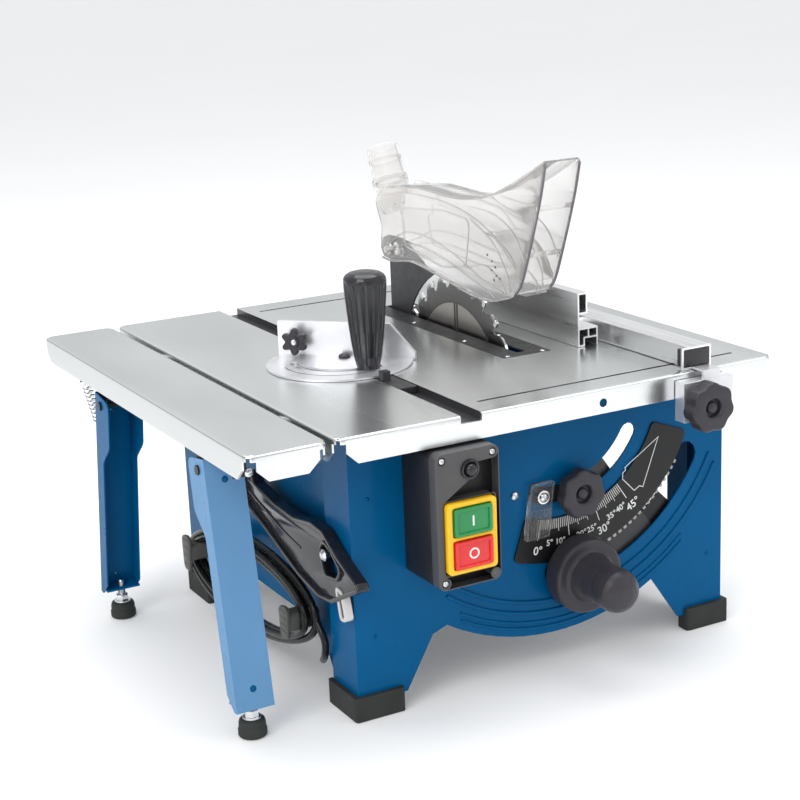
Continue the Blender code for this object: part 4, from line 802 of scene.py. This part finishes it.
def hand_knob(node, body, axis, back, stud_end):
    """A seven-lobed knob whose front has a dish with a domed plug, and a hub and a steel stud behind."""
    radius, depth, dish = 23.6, 2.4, 8.6
    x, z = axis.x, axis.z
    front = span(node)[0].y
    plug = [(0, 4.4), (2.4, 4.2), (4.2, 3.5), (5.3, 2.3), (5.7, 0.9), (5.7, -0.6), (0, -0.6)]
    knob = joined([
        plate([lobed((x, z), radius, depth, 7), circle((x, z), dish)], "XZ", front, back, 2.6, 5),
        turned([(0, 0), (dish + 1.6, 0), (dish + 1.6, 3.6), (0, 3.6)], (x, front + 9, z), FORWARD, 48),
        turned(plug, (x, front + 5, z), FORWARD, 40),
        turned([(0, 0), (10.2, 0), (11.2, 6.2), (0, 6.2)], (x, back + 6, z), FORWARD, 48),
    ])
    stud = turned([(0, 0), (3, 0), (3.8, 0.8), (3.8, 30), (0, 30)], (x, stud_end, z), FORWARD, 24)
    piece(node + "_moulded", knob, "knob_plastic", body, [node], 40)
    piece(node + "_stud", stud, "bright_steel", body)


hand_knob("lock_knob", "lock", LOCK, -199, -178)
hand_knob("fence_clamp_knob", "clamp", CLAMP, -254, -238)

HANDLE_PROFILE = [
    (0, 373), (4, 372.95), (8, 372.7), (14.5, 371.4, 4), (18.4, 369, 3), (20.2, 366, 2), (20.5, 362.5, 2),
    (20.3, 357, 4), (19, 342, 6), (17.4, 324, 6), (15.6, 306, 6), (13.6, 292, 6), (11.4, 283, 1.5),
    (10.6, 280.2, 0), (3.8, 280.2, 0), (3.8, 271, 0), (0, 271),
]
FLUTES = 12
FLUTE_DEPTH = 1.15
FLUTE_Z = (283, 364.5)


def mitre_handle():
    """A tapered grip with shallow flutes below its cap, which fade out at both ends."""
    outline = eased(HANDLE_PROFILE, 1)
    fine = []
    for first, last in zip(outline, outline[1:]):
        pieces = max(1, round(math.dist(first, last) / 3)) if first[0] > 5 and last[0] > 5 else 1
        for i in range(pieces):
            fine.append(tuple(a + (b - a) * i / pieces for a, b in zip(first, last)))
    mesh = turned([*fine, outline[-1]], (GRIP.x, GRIP.y, 0), UP, 144)
    centre = at(GRIP.x, GRIP.y, 0)
    for vertex in mesh.vertices:
        height = (vertex.co.z - centre.z) / MM
        fade = max(0, min(1, (height - FLUTE_Z[0]) / 10, (FLUTE_Z[1] - height) / 7))
        away = Vector((vertex.co.x - centre.x, vertex.co.y - centre.y, 0))
        if away.length < 4.5 * MM:
            continue
        wave = max(0, math.cos(FLUTES * math.atan2(away.y, away.x))) ** 0.8
        vertex.co -= away.normalized() * FLUTE_DEPTH * MM * wave * fade
    return mesh


piece("mitre_handle_moulded", mitre_handle(), "gloss_black_plastic", "mitre_grip", ["mitre_handle"], 45)


def star_knob():
    """Six deep lobes round a hub. Made in the gauge's straight position, along Y."""
    x, z = -48.5, 295
    front, back = -8.2, -1
    hub = [(0, 1.5), (6.6, 1.5), (7.2, -2), (6.4, -5.6), (0, -5.6)]
    collar = [(3.4, 0), (5.6, 0), (5.6, 1.2), (4.8, 1.9), (3.4, 1.9)]
    cap = [(0, 1.6), (2, 1.4), (3.3, 0.7), (3.6, -0.4), (0, -0.4)]
    shank = [(0, 0), (2.9, 0), (2.9, 12), (2.2, 13), (0, 13)]
    black = [
        plate([lobed((x, z), 13.3, 4.4, 6, 96)], "XZ", front, back, 1.2, 3),
        turned(hub, (x, 0, z), FORWARD, 40),
        turned(collar, (x, front, z), FORWARD, 40),
    ]
    bright = [turned(cap, (x, front, z), FORWARD, 32), turned(shank, (x, 2, z), BACKWARD, 24)]
    return in_head(joined(black)), in_head(joined(bright))


def mitre_slot_painted_shade():
    """A dark strip of painted shade along the near edge of the arc slot in the mitre head."""
    shade_strip = band((0, -15), 53, 54.2, -57, 57, 50)
    return in_head(plate([shade_strip], "XY", TABLE_TOP + 0.5, TABLE_TOP + 2.36))


knob, screw = star_knob()
piece("mitre_star_moulded", knob, "knob_plastic", "mitre_star", ["mitre_star_knob"], 40)
piece("mitre_star_screw", screw, "bright_steel", "mitre_star")
# Dark ink here is painted shade along the slot's near edge.
piece("mitre_slot_painted_shade", mitre_slot_painted_shade(), "dark_ink", "mitre_protractor")


# ---------------- push stick, cord, spring and leg feet

STICK_X = (span("push_stick")[0].x, span("push_stick")[1].x)
STICK = [
    (17, 176, 3), (-9, 189, 3), (-15, 178, 6), (-60, 170, 20), (-100, 168, 20), (-136, 174, 20),
    (-160, 172, 14), (-187, 156, 10), (-221, 142, 3), (-226, 136, 3), (-170, 107, 14), (-146, 104, 14),
    (-104, 112, 30), (-26, 139, 20), (11, 150, 4),
]
STICK_LOOP = [(-151, 152), (-157, 160), (-171, 155), (-187, 143), (-180, 134), (-158, 131)]
STICK_SHANK = [(4, 165), (-30, 156), (-70, 146), (-108, 140)]
STRAP = [(-176, 127), (-189, 124), (-197, 98), (-184, 95)]
STRAP_WEB = [(-178, 122), (-188, 120), (-193, 101), (-185, 99)]
PEG_PLACE = (-162, 150.5)


def push_stick():
    """A thin web inside a raised rim, with a second rim round the hand hole and a rib down the shank."""
    low, high = STICK_X
    hole = rounded(STICK_LOOP, 6)
    return joined([
        plate([rounded(inset(STICK, 3), 5), hole], "YZ", low + 3.2, high - 2.6, 0.3, 2),
        plate([rounded(STICK, 6), rounded(inset(STICK, 4.2), 4)], "YZ", low, high, 1.3, 4),
        plate([rounded(inset(STICK_LOOP, -3.4), 8), hole], "YZ", low + 1.2, high - 0.8, 0.9),
        strip(smooth_path(STICK_SHANK, 6), "YZ", low + 2.4, low + 4, 2),
    ])


piece("push_stick_moulded", push_stick(), "gloss_black_plastic", "cabinet", ["push_stick"], 45)
strap_outlines = [rounded(STRAP, 5), rounded(inset(STRAP, 3.2), 5)]
strap = plate(strap_outlines, "YZ", STICK_X[0] + 1.5, STICK_X[1] - 2.5, 0.8)
piece("push_stick_strap", strap, "strap_vinyl", "cabinet")
strap_web = plate([rounded(STRAP_WEB, 3)], "YZ", STICK_X[0] + 3.2, STICK_X[1] - 4, 0.3, 2)
piece("push_stick_strap_web", strap_web, "gloss_black_plastic", "cabinet")
peg = [(0, 2.2), (2.2, 2.1), (3.4, 1.5), (4, 0.6), (4, -2), (0, -2)]
piece("push_stick_peg_cap", turned(peg, (STICK_X[0] - 1, *PEG_PLACE), LEFT, 32), "bright_steel", "cabinet")

CORD_TAIL = [(-209, -140, 60), (-207, -135, 44), (-200, -116, 30), (-190, -103, 31), (-180, -97, 38)]


def coil_points():
    """The cord wound four times round the hooks, with its end led in under the cabinet."""
    layers = (0, 8.2, 8.2, 0, 0)
    turns, per_turn = 4, 72
    points = []
    for i in range(turns * per_turn + 1):
        turn = i / per_turn
        angle = 2 * math.pi * turn
        grow = 8.4 * max(0, min(1, turn - 1.6))
        step = int(turn)
        blend = max(0, min(1, 3 * (turn - step) - 2))
        blend = blend * blend * (3 - 2 * blend)
        shift = layers[step] + (layers[min(step + 1, turns)] - layers[step]) * blend
        y = 12 - (132 + grow) * math.cos(angle)
        z = 68 + 8 * math.cos(angle) + (36 + grow) * math.sin(angle)
        points.append((-211 - shift, y, z))
    return points + smooth_path([points[-1], *CORD_TAIL])[1:]


def spring_points():
    """A helix with a straight tail at each end."""
    first, last = Vector((-305, 184.5, 246)), Vector((-305, 156, 215))
    along = (last - first).normalized()
    side = Vector((1, 0, 0))
    up = along.cross(side)
    turns, per_turn = 9, 24
    points = [first - along * 3]
    for i in range(turns * per_turn + 1):
        angle = 2 * math.pi * i / per_turn
        centre = first + (last - first) * (i / (turns * per_turn))
        points.append(centre + 4.6 * (side * math.cos(angle) + up * math.sin(angle)))
    return points + [last + along * 3, Vector((-305, 146.4, 209))]


piece("cable_coil_round", tube(coil_points(), 3.4, 16), "cord_sheath", "cabinet", ["cable_coil"], 60)
piece("leg_spring_wire", tube(spring_points(), 0.8, 10), "bright_steel", "back_leg", ["leg_spring"], 60)

PAD_PROFILE = [
    (0, 0), (11.4, 0, 1), (12.9, 1.4, 0.8), (12.9, 6.8, 0.6), (12.1, 8.6, 0.6), (12.1, 12.6, 1),
    (11.2, 15.8, 1.2), (8.8, 16.9, 0.6), (0, 16.9),
]
THREAD_TURNS = 17
THREAD_PITCH = 0.85


def levelling_foot(node, name, body):
    """A ribbed rubber pad under a steel stud, a nut and a washer."""
    low, high = span(node)
    x, y = (low.x + high.x) / 2, (low.y + high.y) / 2
    foot = (x, y, low.z)
    piece(name + "_pad", turned(eased(PAD_PROFILE, 0.6), foot, UP), "foot_rubber", body, [node], 45)
    threads = [(0, 16), (3.1, 16)]
    for i in range(THREAD_TURNS):
        threads += [(3.1, 25.2 + i * THREAD_PITCH), (3.7, 25.6 + i * THREAD_PITCH)]
    nut = [below((x, y), 6.6, 60 * i + 102) for i in range(6)]
    steel = [
        turned(threads + [(3, 40.2), (0, 40.2)], foot, UP, 24),
        turned(eased([(0, 16.8), (8.4, 16.8), (8.4, 18.2), (0, 18.2)], 0.3), foot, UP, 40),
        plate([nut], "XY", low.z + 18.2, low.z + 24.4, 0.5, 2),
    ]
    piece(name + "_stud", joined(steel), "bright_steel", body)


levelling_foot("leg_front_foot", "front_leg_foot", "front_leg")
levelling_foot("leg_back_foot", "back_leg_foot", "back_leg")


# ---------------- switch

BOX_LOW, BOX_HIGH = span("switch_box")
FRAME_LOW, FRAME_HIGH = span("switch_frame")
LID_DEPTH = 13
LID_WINDOW = rectangle((-143, 143), (-93, 208))
BOX_SCREWS = [(x, z) for z in (135.5, 245.5) for x in (-143.5, -93.5)]
BUTTON_WINDOWS = [rectangle((-137.2, low), (-98.8, high)) for low, high in ((177.3, 203.2), (147.8, 173.7))]
RESET = (-117, 234.5)


def switch_box():
    """A moulded box with round corners: a face plate with openings over a plain back."""
    outline = front_of(BOX_LOW, BOX_HIGH)
    face = rounded(outline, 7, 8)
    holes = [rounded(LID_WINDOW, 2), circle(RESET, 7.4, 40)]
    holes += [circle(place, 3.4, 24) for place in BOX_SCREWS]
    # Known fault: widened by the bevel, the screw holes cross the lid's edge, so part of its face is open.
    lid = plate([face] + holes, "XZ", BOX_LOW.y, BOX_LOW.y + LID_DEPTH, 1.6, 4)
    body = joined([
        plate([rounded(inset(outline, 0.3), 6.7, 8)], "XZ", BOX_LOW.y + LID_DEPTH - 0.6, BOX_HIGH.y, 0.3, 2),
        plate([face], "XZ", BOX_LOW.y + LID_DEPTH + 1, BOX_HIGH.y, 0.6, 2),
    ])
    return lid, body


lid, body = switch_box()
piece("switch_box_lid", lid, "lid_plastic", "cabinet", ["switch_box"], 40)
piece("switch_box_body", body, "box_plastic", "cabinet", sharp=40)
yellow = [rounded(front_of(FRAME_LOW, FRAME_HIGH), 4)] + [rounded(window, 1.8) for window in BUTTON_WINDOWS]
yellow = plate(yellow, "XZ", FRAME_LOW.y, FRAME_HIGH.y, 1.5, 4)
piece("switch_frame_moulded", yellow, "yellow_plastic", "cabinet", ["switch_frame"], 40)


def push_button(node, look, body, mark):
    """A rocker face: a raised rim round a shallow dish. mark makes the outlines that are printed in it."""
    low, high = span(node)
    outline = front_of(low, high)
    dish = low.y + 1.4
    face = joined([
        plate([rounded(outline, 2.2)], "XZ", dish, high.y, 0.5, 2),
        plate([rounded(outline, 2.2), rounded(inset(outline, 3), 1.6)], "XZ", low.y, low.y + 3, 0.9),
    ])
    piece(node + "_face", face, look, body, [node], 40)
    printing = plate(mark((low.x + high.x) / 2, (low.z + high.z) / 2), "XZ", dish - 0.35, dish + 0.3, 0.15, 1)
    piece(node + "_mark", printing, "white_ink", body)


def bar_mark(x, z):
    return [rounded(rectangle((x - 0.9, z - 4.6), (x + 0.9, z + 4.6)), 0.5)]


def ring_mark(x, z):
    return [circle((x, z), 5, 40), circle((x, z), 3.5, 40)]


push_button("start_button", "green_plastic", "start", bar_mark)
push_button("stop_button", "red_plastic", "stop", ring_mark)
dome = [(0, 6.8), (2.4, 6.6), (4.2, 5.8), (5.2, 4.4), (5.4, 3), (5.4, -2), (0, -2)]
dome = turned(dome, (RESET[0], span("reset_button")[0].y + 6.8, RESET[1]), FORWARD, 40)
piece("reset_button_dome", dome, "gloss_black_plastic", "reset", ["reset_button"])
collar = [(6, 0.4), (6.2, 1.6), (7.2, 2.2), (8.6, 1.8), (9, 0), (9, -0.4), (6, -0.4)]
collar = turned(collar, (RESET[0], BOX_LOW.y, RESET[1]), FORWARD, 48)
piece("reset_button_collar", collar, "gloss_black_plastic", "cabinet")


# ---------------- screws and rivets

INSERT_TOP = span("insert_plate")[1].z
INSERT_SCREWS = [(x, y, INSERT_TOP - 0.25) for y in (-87, -7, 95, 167) for x in (26.3, 66)]
FRONT_SCREWS = [(-184, 76), (185, 75), (184, 200), (-185, 204)]
BACK_SCREWS = [(x, BACK_FACE - 0.2, z) for x in (-185, 185) for z in (76, 202)]
STOP_SCREW = (-35, FRONT_FACE - 0.1, 177.5)


def screw_heads(places, direction, radius, height=0.55):
    """Domed heads with a cross in each. places are points on the face; height is a share of the radius."""
    parts = []
    turn = Vector(direction).to_track_quat("Z", "Y").to_matrix().to_4x4()
    dome = [(0, 0.22), (0.30, 0.22), (0.42, height * 0.98), (0.7, height * 0.78), (0.93, height * 0.4)]
    dome = [(share * radius, rise * radius) for share, rise in dome]
    dome += [(radius, 0), (radius, -0.5), (0, -0.5)]
    for i, place in enumerate(places):
        parts.append(turned(dome, place, direction, 28))
        for angle in (0, 90):
            bar = block((-radius * 0.36, -radius * 0.09, 0), (radius * 0.36, radius * 0.09, radius * 0.3))
            spin = Matrix.Rotation(math.radians(angle + 37 * i), 4, "Z")
            bar.transform(Matrix.Translation(at(*place)) @ turn @ spin @ Matrix.Translation(-HOME))
            parts.append(bar)
    return joined(parts)


box_screws = screw_heads([(x, BOX_LOW.y + 1.6, z) for x, z in BOX_SCREWS], FORWARD, 3)
piece("switch_box_screws", box_screws, "bright_steel", "cabinet")
piece("insert_screws", screw_heads(INSERT_SCREWS, UP, 2.7, 0.35), "bright_steel", "cabinet")
piece("front_stop_screw", screw_heads([STOP_SCREW], FORWARD, 4.4), "bright_steel", "cabinet")
front_screws = screw_heads([(x, FRONT_FACE + 0.5, z) for x, z in FRONT_SCREWS], FORWARD, 2.3)
piece("front_panel_screws", front_screws, "blue_paint", "cabinet")
piece("back_panel_screws", screw_heads(BACK_SCREWS, BACKWARD, 3.6), "bright_steel", "cabinet")


# ---------------- front panel and bevel scale

PIVOT = (TILT.x, TILT.z)
# Radius, width, first angle, last angle and height of each raised band round the pivot.
BEADS = [
    (194, 3.6, -38, 64, 1.5), (204.5, 3.6, -36, 62, 1.5), (214, 3, -30, 41, 1.2), (219.5, 2.6, -29, 40, 1.2),
]
SCALE_ZERO = -10.5
SCALE_ARROW = [
    (125, 205), (86.5, 182), (87, 179), (83.9, 177), (83.6, 171), (97, 157.2), (103.2, 160.7), (107, 159),
]
INK = 0.12
INK_SPREAD = 0.00012
POINTER = [(-20.5, 187, 3), (4.5, 187, 3), (-2, 133, 2.5), (-29, 133, 2.5)]
POINTER_Y = (span("bevel_pointer")[0].y, span("bevel_pointer")[1].y)
POINTER_SCREW = (-8, 172.5)
POINTER_RIBS = 7


def bead(radius, width, start, end, height):
    """A raised band round the tilt axis with round ends."""
    steps = max(12, int(abs(end - start)))
    outline = []
    for reach, first, last in ((radius + width / 2, start, end), (radius - width / 2, end, start)):
        outline += arc(PIVOT, reach, first, last, steps)
        tip = below(PIVOT, radius, last)
        side = 0 if last == end else 180
        outline += [below(tip, width / 2, last + side + 180 * i / 8) for i in range(1, 8)]
    return plate([outline], "XZ", FRONT_FACE - height, FRONT_FACE + 0.4, height * 0.9, 4)


piece("front_panel_beads", joined([bead(*values) for values in BEADS]), "blue_paint", "cabinet", sharp=50)


def scale_place(radius, value):
    return below(PIVOT, radius, value + SCALE_ZERO)


def scale_ink(outlines):
    return plate(outlines, "XZ", SCALE_FACE - INK, SCALE_FACE + 0.02)


def bar_between(first, last, half_width):
    """The outline of a thin bar from one point to another."""
    first, last = Vector(first), Vector(last)
    across = (last - first).orthogonal().normalized() * half_width
    return [tuple(first - across), tuple(last - across), tuple(last + across), tuple(first + across)]


def scale_ticks():
    parts = []
    for value in range(46):
        reach = 134 if value % 15 == 0 else 127 if value % 5 == 0 else 124
        half_width = 0.36 if value % 15 == 0 else 0.27
        tick = bar_between(scale_place(114.6, value), scale_place(reach, value), half_width)
        parts.append(scale_ink([tick]))
    return parts


def scale_numbers():
    """Each fifth degree as a thin raised print, larger at every fifteenth."""
    parts = []
    for value in range(0, 46, 5):
        radius, size = (144.5, 11) if value % 15 == 0 else (137.5, 8.2)
        x, z = scale_place(radius, value + 0.8)
        curve = bpy.data.curves.new("number", "FONT")
        curve.body = f"{value}°"
        curve.size = size * MM
        curve.align_x = "CENTER"
        curve.align_y = "CENTER"
        curve.extrude = INK * MM / 2
        curve.offset = INK_SPREAD
        mesh = mesh_of(curve)
        turn = Matrix.Rotation(math.radians((value + SCALE_ZERO) * 0.85), 4, "Z")
        mesh.transform(Matrix.Translation(at(x, SCALE_FACE - INK / 2, z)) @ PLANES["XZ"] @ turn)
        parts.append(mesh)
    return parts


arrow = scale_ink([inset(SCALE_ARROW, -0.35), inset(SCALE_ARROW, 0.35)])
scale_print = joined([joined(scale_ticks()), joined(scale_numbers()), arrow])
piece("scale_print", scale_print, "white_ink", "cabinet")


def pointer():
    """A clear tongue with a raised rim and fine ribs along its lower half."""
    front, back = POINTER_Y
    outline = rounded(POINTER, 3)
    parts = [
        plate([outline, circle(POINTER_SCREW, 3.4, 32)], "XZ", front + 1.4, back, 0.4, 2),
        plate([outline, rounded(inset(POINTER, 2.2), 2)], "XZ", front, front + 2.2, 0.6),
    ]
    for i in range(POINTER_RIBS):
        share = (i + 0.5) / POINTER_RIBS
        rib = bar_between((-27 + 23 * share, 135.5), (-21.5 + 20 * share, 161), 0.55)
        parts.append(plate([rib], "XZ", front + 0.5, front + 2, 0.15, 1))
    return joined(parts)


def pointer_screw():
    x, z = POINTER_SCREW
    washer = turned([(0, 0), (6.4, 0), (6.4, 0.9), (0, 0.9)], (x, POINTER_Y[0] + 0.9, z), FORWARD, 40)
    return joined([washer, screw_heads([(x, POINTER_Y[0], z)], FORWARD, 4.9, 0.6)])


piece("bevel_pointer_clear", pointer(), "clear_pointer", "tilt_frame", ["bevel_pointer"], 40)
piece("pointer_screw_head", pointer_screw(), "bright_steel", "tilt_frame", ["pointer_screw"])


# ---------------- motor, legs and other details

MOTOR_LOW, MOTOR_HIGH = span("motor_housing")
FIN = [(39, 0), (43.6, 0), (43.6, 2.4), (39, 2.4)]
FINS = 11
FIN_PITCH = 8.4
LEG_SPLAY = math.radians(9.5)
LEG_TOP = (136.7, 250)
LEG_HOLES = (20, 206)
LEG_MIDDLE_X = -294.4
RIVET = [(0, 0.3), (1.6, 0.2), (2.4, -0.1), (3, -0.3), (3, -1.1), (0, -1.1)]
TUBE_LOW, TUBE_HIGH = span("fence_tube")


def motor_fins():
    y, z = (MOTOR_LOW.y + MOTOR_HIGH.y) / 2, (MOTOR_LOW.z + MOTOR_HIGH.z) / 2
    first = MOTOR_LOW.x + 14
    return joined([turned(FIN, (first + i * FIN_PITCH, y, z), (1, 0, 0)) for i in range(FINS)])


def bracket_bolt(node):
    low, high = span(node)
    out = -1 if low.y + high.y < 0 else 1
    face = low.y if out < 0 else high.y
    bolt = screw_heads([(LEG_MIDDLE_X, face + out * 0.1, LEG_TOP[1])], (0, out, 0), 4.2)
    piece(node + "_bolt", bolt, "bright_steel", "cabinet")


def leg_rivets(body, out):
    """Painted rivets that fill the two holes in the leg's web."""
    lean = (0, out * math.cos(LEG_SPLAY), math.sin(LEG_SPLAY))
    parts = []
    for down in LEG_HOLES:
        y = out * (LEG_TOP[0] + down * math.sin(LEG_SPLAY) - 0.5)
        z = LEG_TOP[1] - down * math.cos(LEG_SPLAY)
        parts.append(turned(RIVET, (LEG_MIDDLE_X, y, z), lean, 24))
    piece(body + "_rivets", joined(parts), "blue_paint", body)


def cable_hook(node):
    """A post with a rounded, ribbed tongue at its end that keeps the cord from sliding off."""
    low, high = span(node)
    y, z = (low.y + high.y) / 2, (low.z + high.z) / 2
    post = rounded(rectangle((y - 9, z - 9), (y + 9, z + 9)), 4)
    tongue = [(y - 8, low.z, 6), (y + 8, low.z, 6), (y + 10.5, high.z - 4, 7), (y - 10.5, high.z, 7)]
    parts = [
        plate([post], "YZ", low.x + 1.5, LEFT_FACE + 0.2, 0.8),
        plate([rounded(tongue, 6)], "YZ", low.x, low.x + 3.4, 1.1),
    ]
    for i in range(4):
        height = low.z + 7 + i * (high.z - low.z - 14) / 3
        parts.append(tube([(low.x + 0.2, y - 6, height), (low.x + 0.2, y + 6, height)], 0.7, 8))
    piece(node + "_ribbed", joined(parts), "hook_plastic", "cabinet", [node], 40)


def tube_end(node, name, y, out):
    """A plug set into the open end of the tube, inside the tube's own rim."""
    outline = front_of(TUBE_LOW, TUBE_HIGH)
    inner = rounded(inset(outline, 2), 1.5)
    rim = plate([rounded(outline, 1.2), inner], "XZ", *sorted((y - out * 0.2, y + out * 1.9)), 0.25, 2)
    piece(name + "_rim", rim, "satin_aluminium", "fence")
    plug = plate([inner], "XZ", *sorted((y - out * 8, y + out * 1.5)), 0.5, 2)
    piece(name + "_plug", plug, "gloss_black_plastic", "fence", [node])


piece("motor_fins", motor_fins(), "motor_paint", "drive", sharp=40)
bracket_bolt("leg_bracket_front")
bracket_bolt("leg_bracket_back")
leg_rivets("front_leg", -1)
leg_rivets("back_leg", 1)
cable_hook("cable_hook_front")
cable_hook("cable_hook_back")
tube_end("tube_cap_front", "tube_front", TUBE_LOW.y, -1)
tube_end("tube_cap_back", "tube_back", TUBE_HIGH.y, 1)
# A dark sheet behind the rack that turns with the tilt frame.
shield = plate([band(PIVOT, 163, 183.5, 9, 46, 30)], "XZ", -186.6, -185.6)
piece("tilt_shield", shield, "black_paint", "tilt_frame")


# ---------------- floor, light and camera

shape = bmesh.new()
bmesh.ops.create_grid(shape, x_segments=4, y_segments=4, size=40)
floor_mesh = bpy.data.meshes.new("floor")
shape.to_mesh(floor_mesh)
shape.free()
floor_mesh.materials.append(LOOKS["floor_finish"])
floor = bpy.data.objects.new("floor", floor_mesh)
bpy.context.scene.collection.objects.link(floor)
floor.location.z = -0.0003

WORLD_STRENGTH = 0.9
SKY = ((0, 0.55), (0.12, 0.62), (0.35, 0.86), (0.75, 1))


def studio_world():
    """White to the camera. What lights the saw and shows in it is dimmer near the horizon than overhead."""
    world = bpy.data.worlds.new("studio")
    bpy.context.scene.world = world
    world.use_nodes = True
    tree = world.node_tree
    axes = new_node(tree, "SeparateXYZ", {"Vector": new_node(tree, "TexCoord").outputs["Generated"]})
    stops = [(height, (light * 0.97, light * 0.985, light)) for height, light in SKY]
    sky = new_ramp(tree, axes.outputs["Z"], stops)
    seen = new_node(tree, "LightPath").outputs["Is Camera Ray"]
    mix = new_node(tree, "Mix", {"Factor": seen, "A": sky, "B": (1.1, 1.1, 1.1, 1)}, data_type="RGBA")
    background = tree.nodes["Background"]
    tree.links.new(mix.outputs["Result"], background.inputs["Color"])
    background.inputs["Strength"].default_value = WORLD_STRENGTH


def softbox(name, place, target, size, power):
    light = bpy.data.lights.new(name, "AREA")
    light.shape = "RECTANGLE"
    light.size, light.size_y = size
    light.energy = power
    made = bpy.data.objects.new(name, light)
    bpy.context.scene.collection.objects.link(made)
    made.location = place
    made.rotation_euler = (Vector(target) - Vector(place)).to_track_quat("-Z", "Y").to_euler()


studio_world()
bpy.context.scene.view_settings.view_transform = "Standard"
softbox("key", (-2, -1.3, 2.2), (0, 0, 0.2), (1.6, 1.6), 30)
softbox("top", (0.3, 0.4, 2.8), (0, 0, 0.2), (2.4, 2), 42)
softbox("left", (-2.4, -0.9, 0.8), (-0.2, 0, 0.15), (1, 1), 5)
softbox("fill", (1.8, -2.2, 1.2), (0, 0, 0.2), (1.2, 1.2), 6)

CAMERA_PLACE = at(-829.3, -1453.6, 686.3)
CAMERA_TURN = math.radians(28.32)
CAMERA_DROP = math.radians(15.55)
CAMERA_ROLL = math.radians(-2.38)

camera = bpy.data.cameras.new("camera")
camera.lens = 77.9
camera.sensor_width = 36
viewer = bpy.data.objects.new("camera", camera)
bpy.context.scene.collection.objects.link(viewer)
level = math.cos(CAMERA_DROP)
forward = Vector((math.sin(CAMERA_TURN) * level, math.cos(CAMERA_TURN) * level, -math.sin(CAMERA_DROP)))
right = forward.cross(Vector((0, 0, 1))).normalized()
up = right.cross(forward)
rolled_right = math.cos(CAMERA_ROLL) * right + math.sin(CAMERA_ROLL) * up
rolled_up = -math.sin(CAMERA_ROLL) * right + math.cos(CAMERA_ROLL) * up
turn = Matrix((rolled_right, rolled_up, -forward)).transposed().to_4x4()
viewer.matrix_world = Matrix.Translation(CAMERA_PLACE) @ turn
bpy.context.scene.camera = viewer
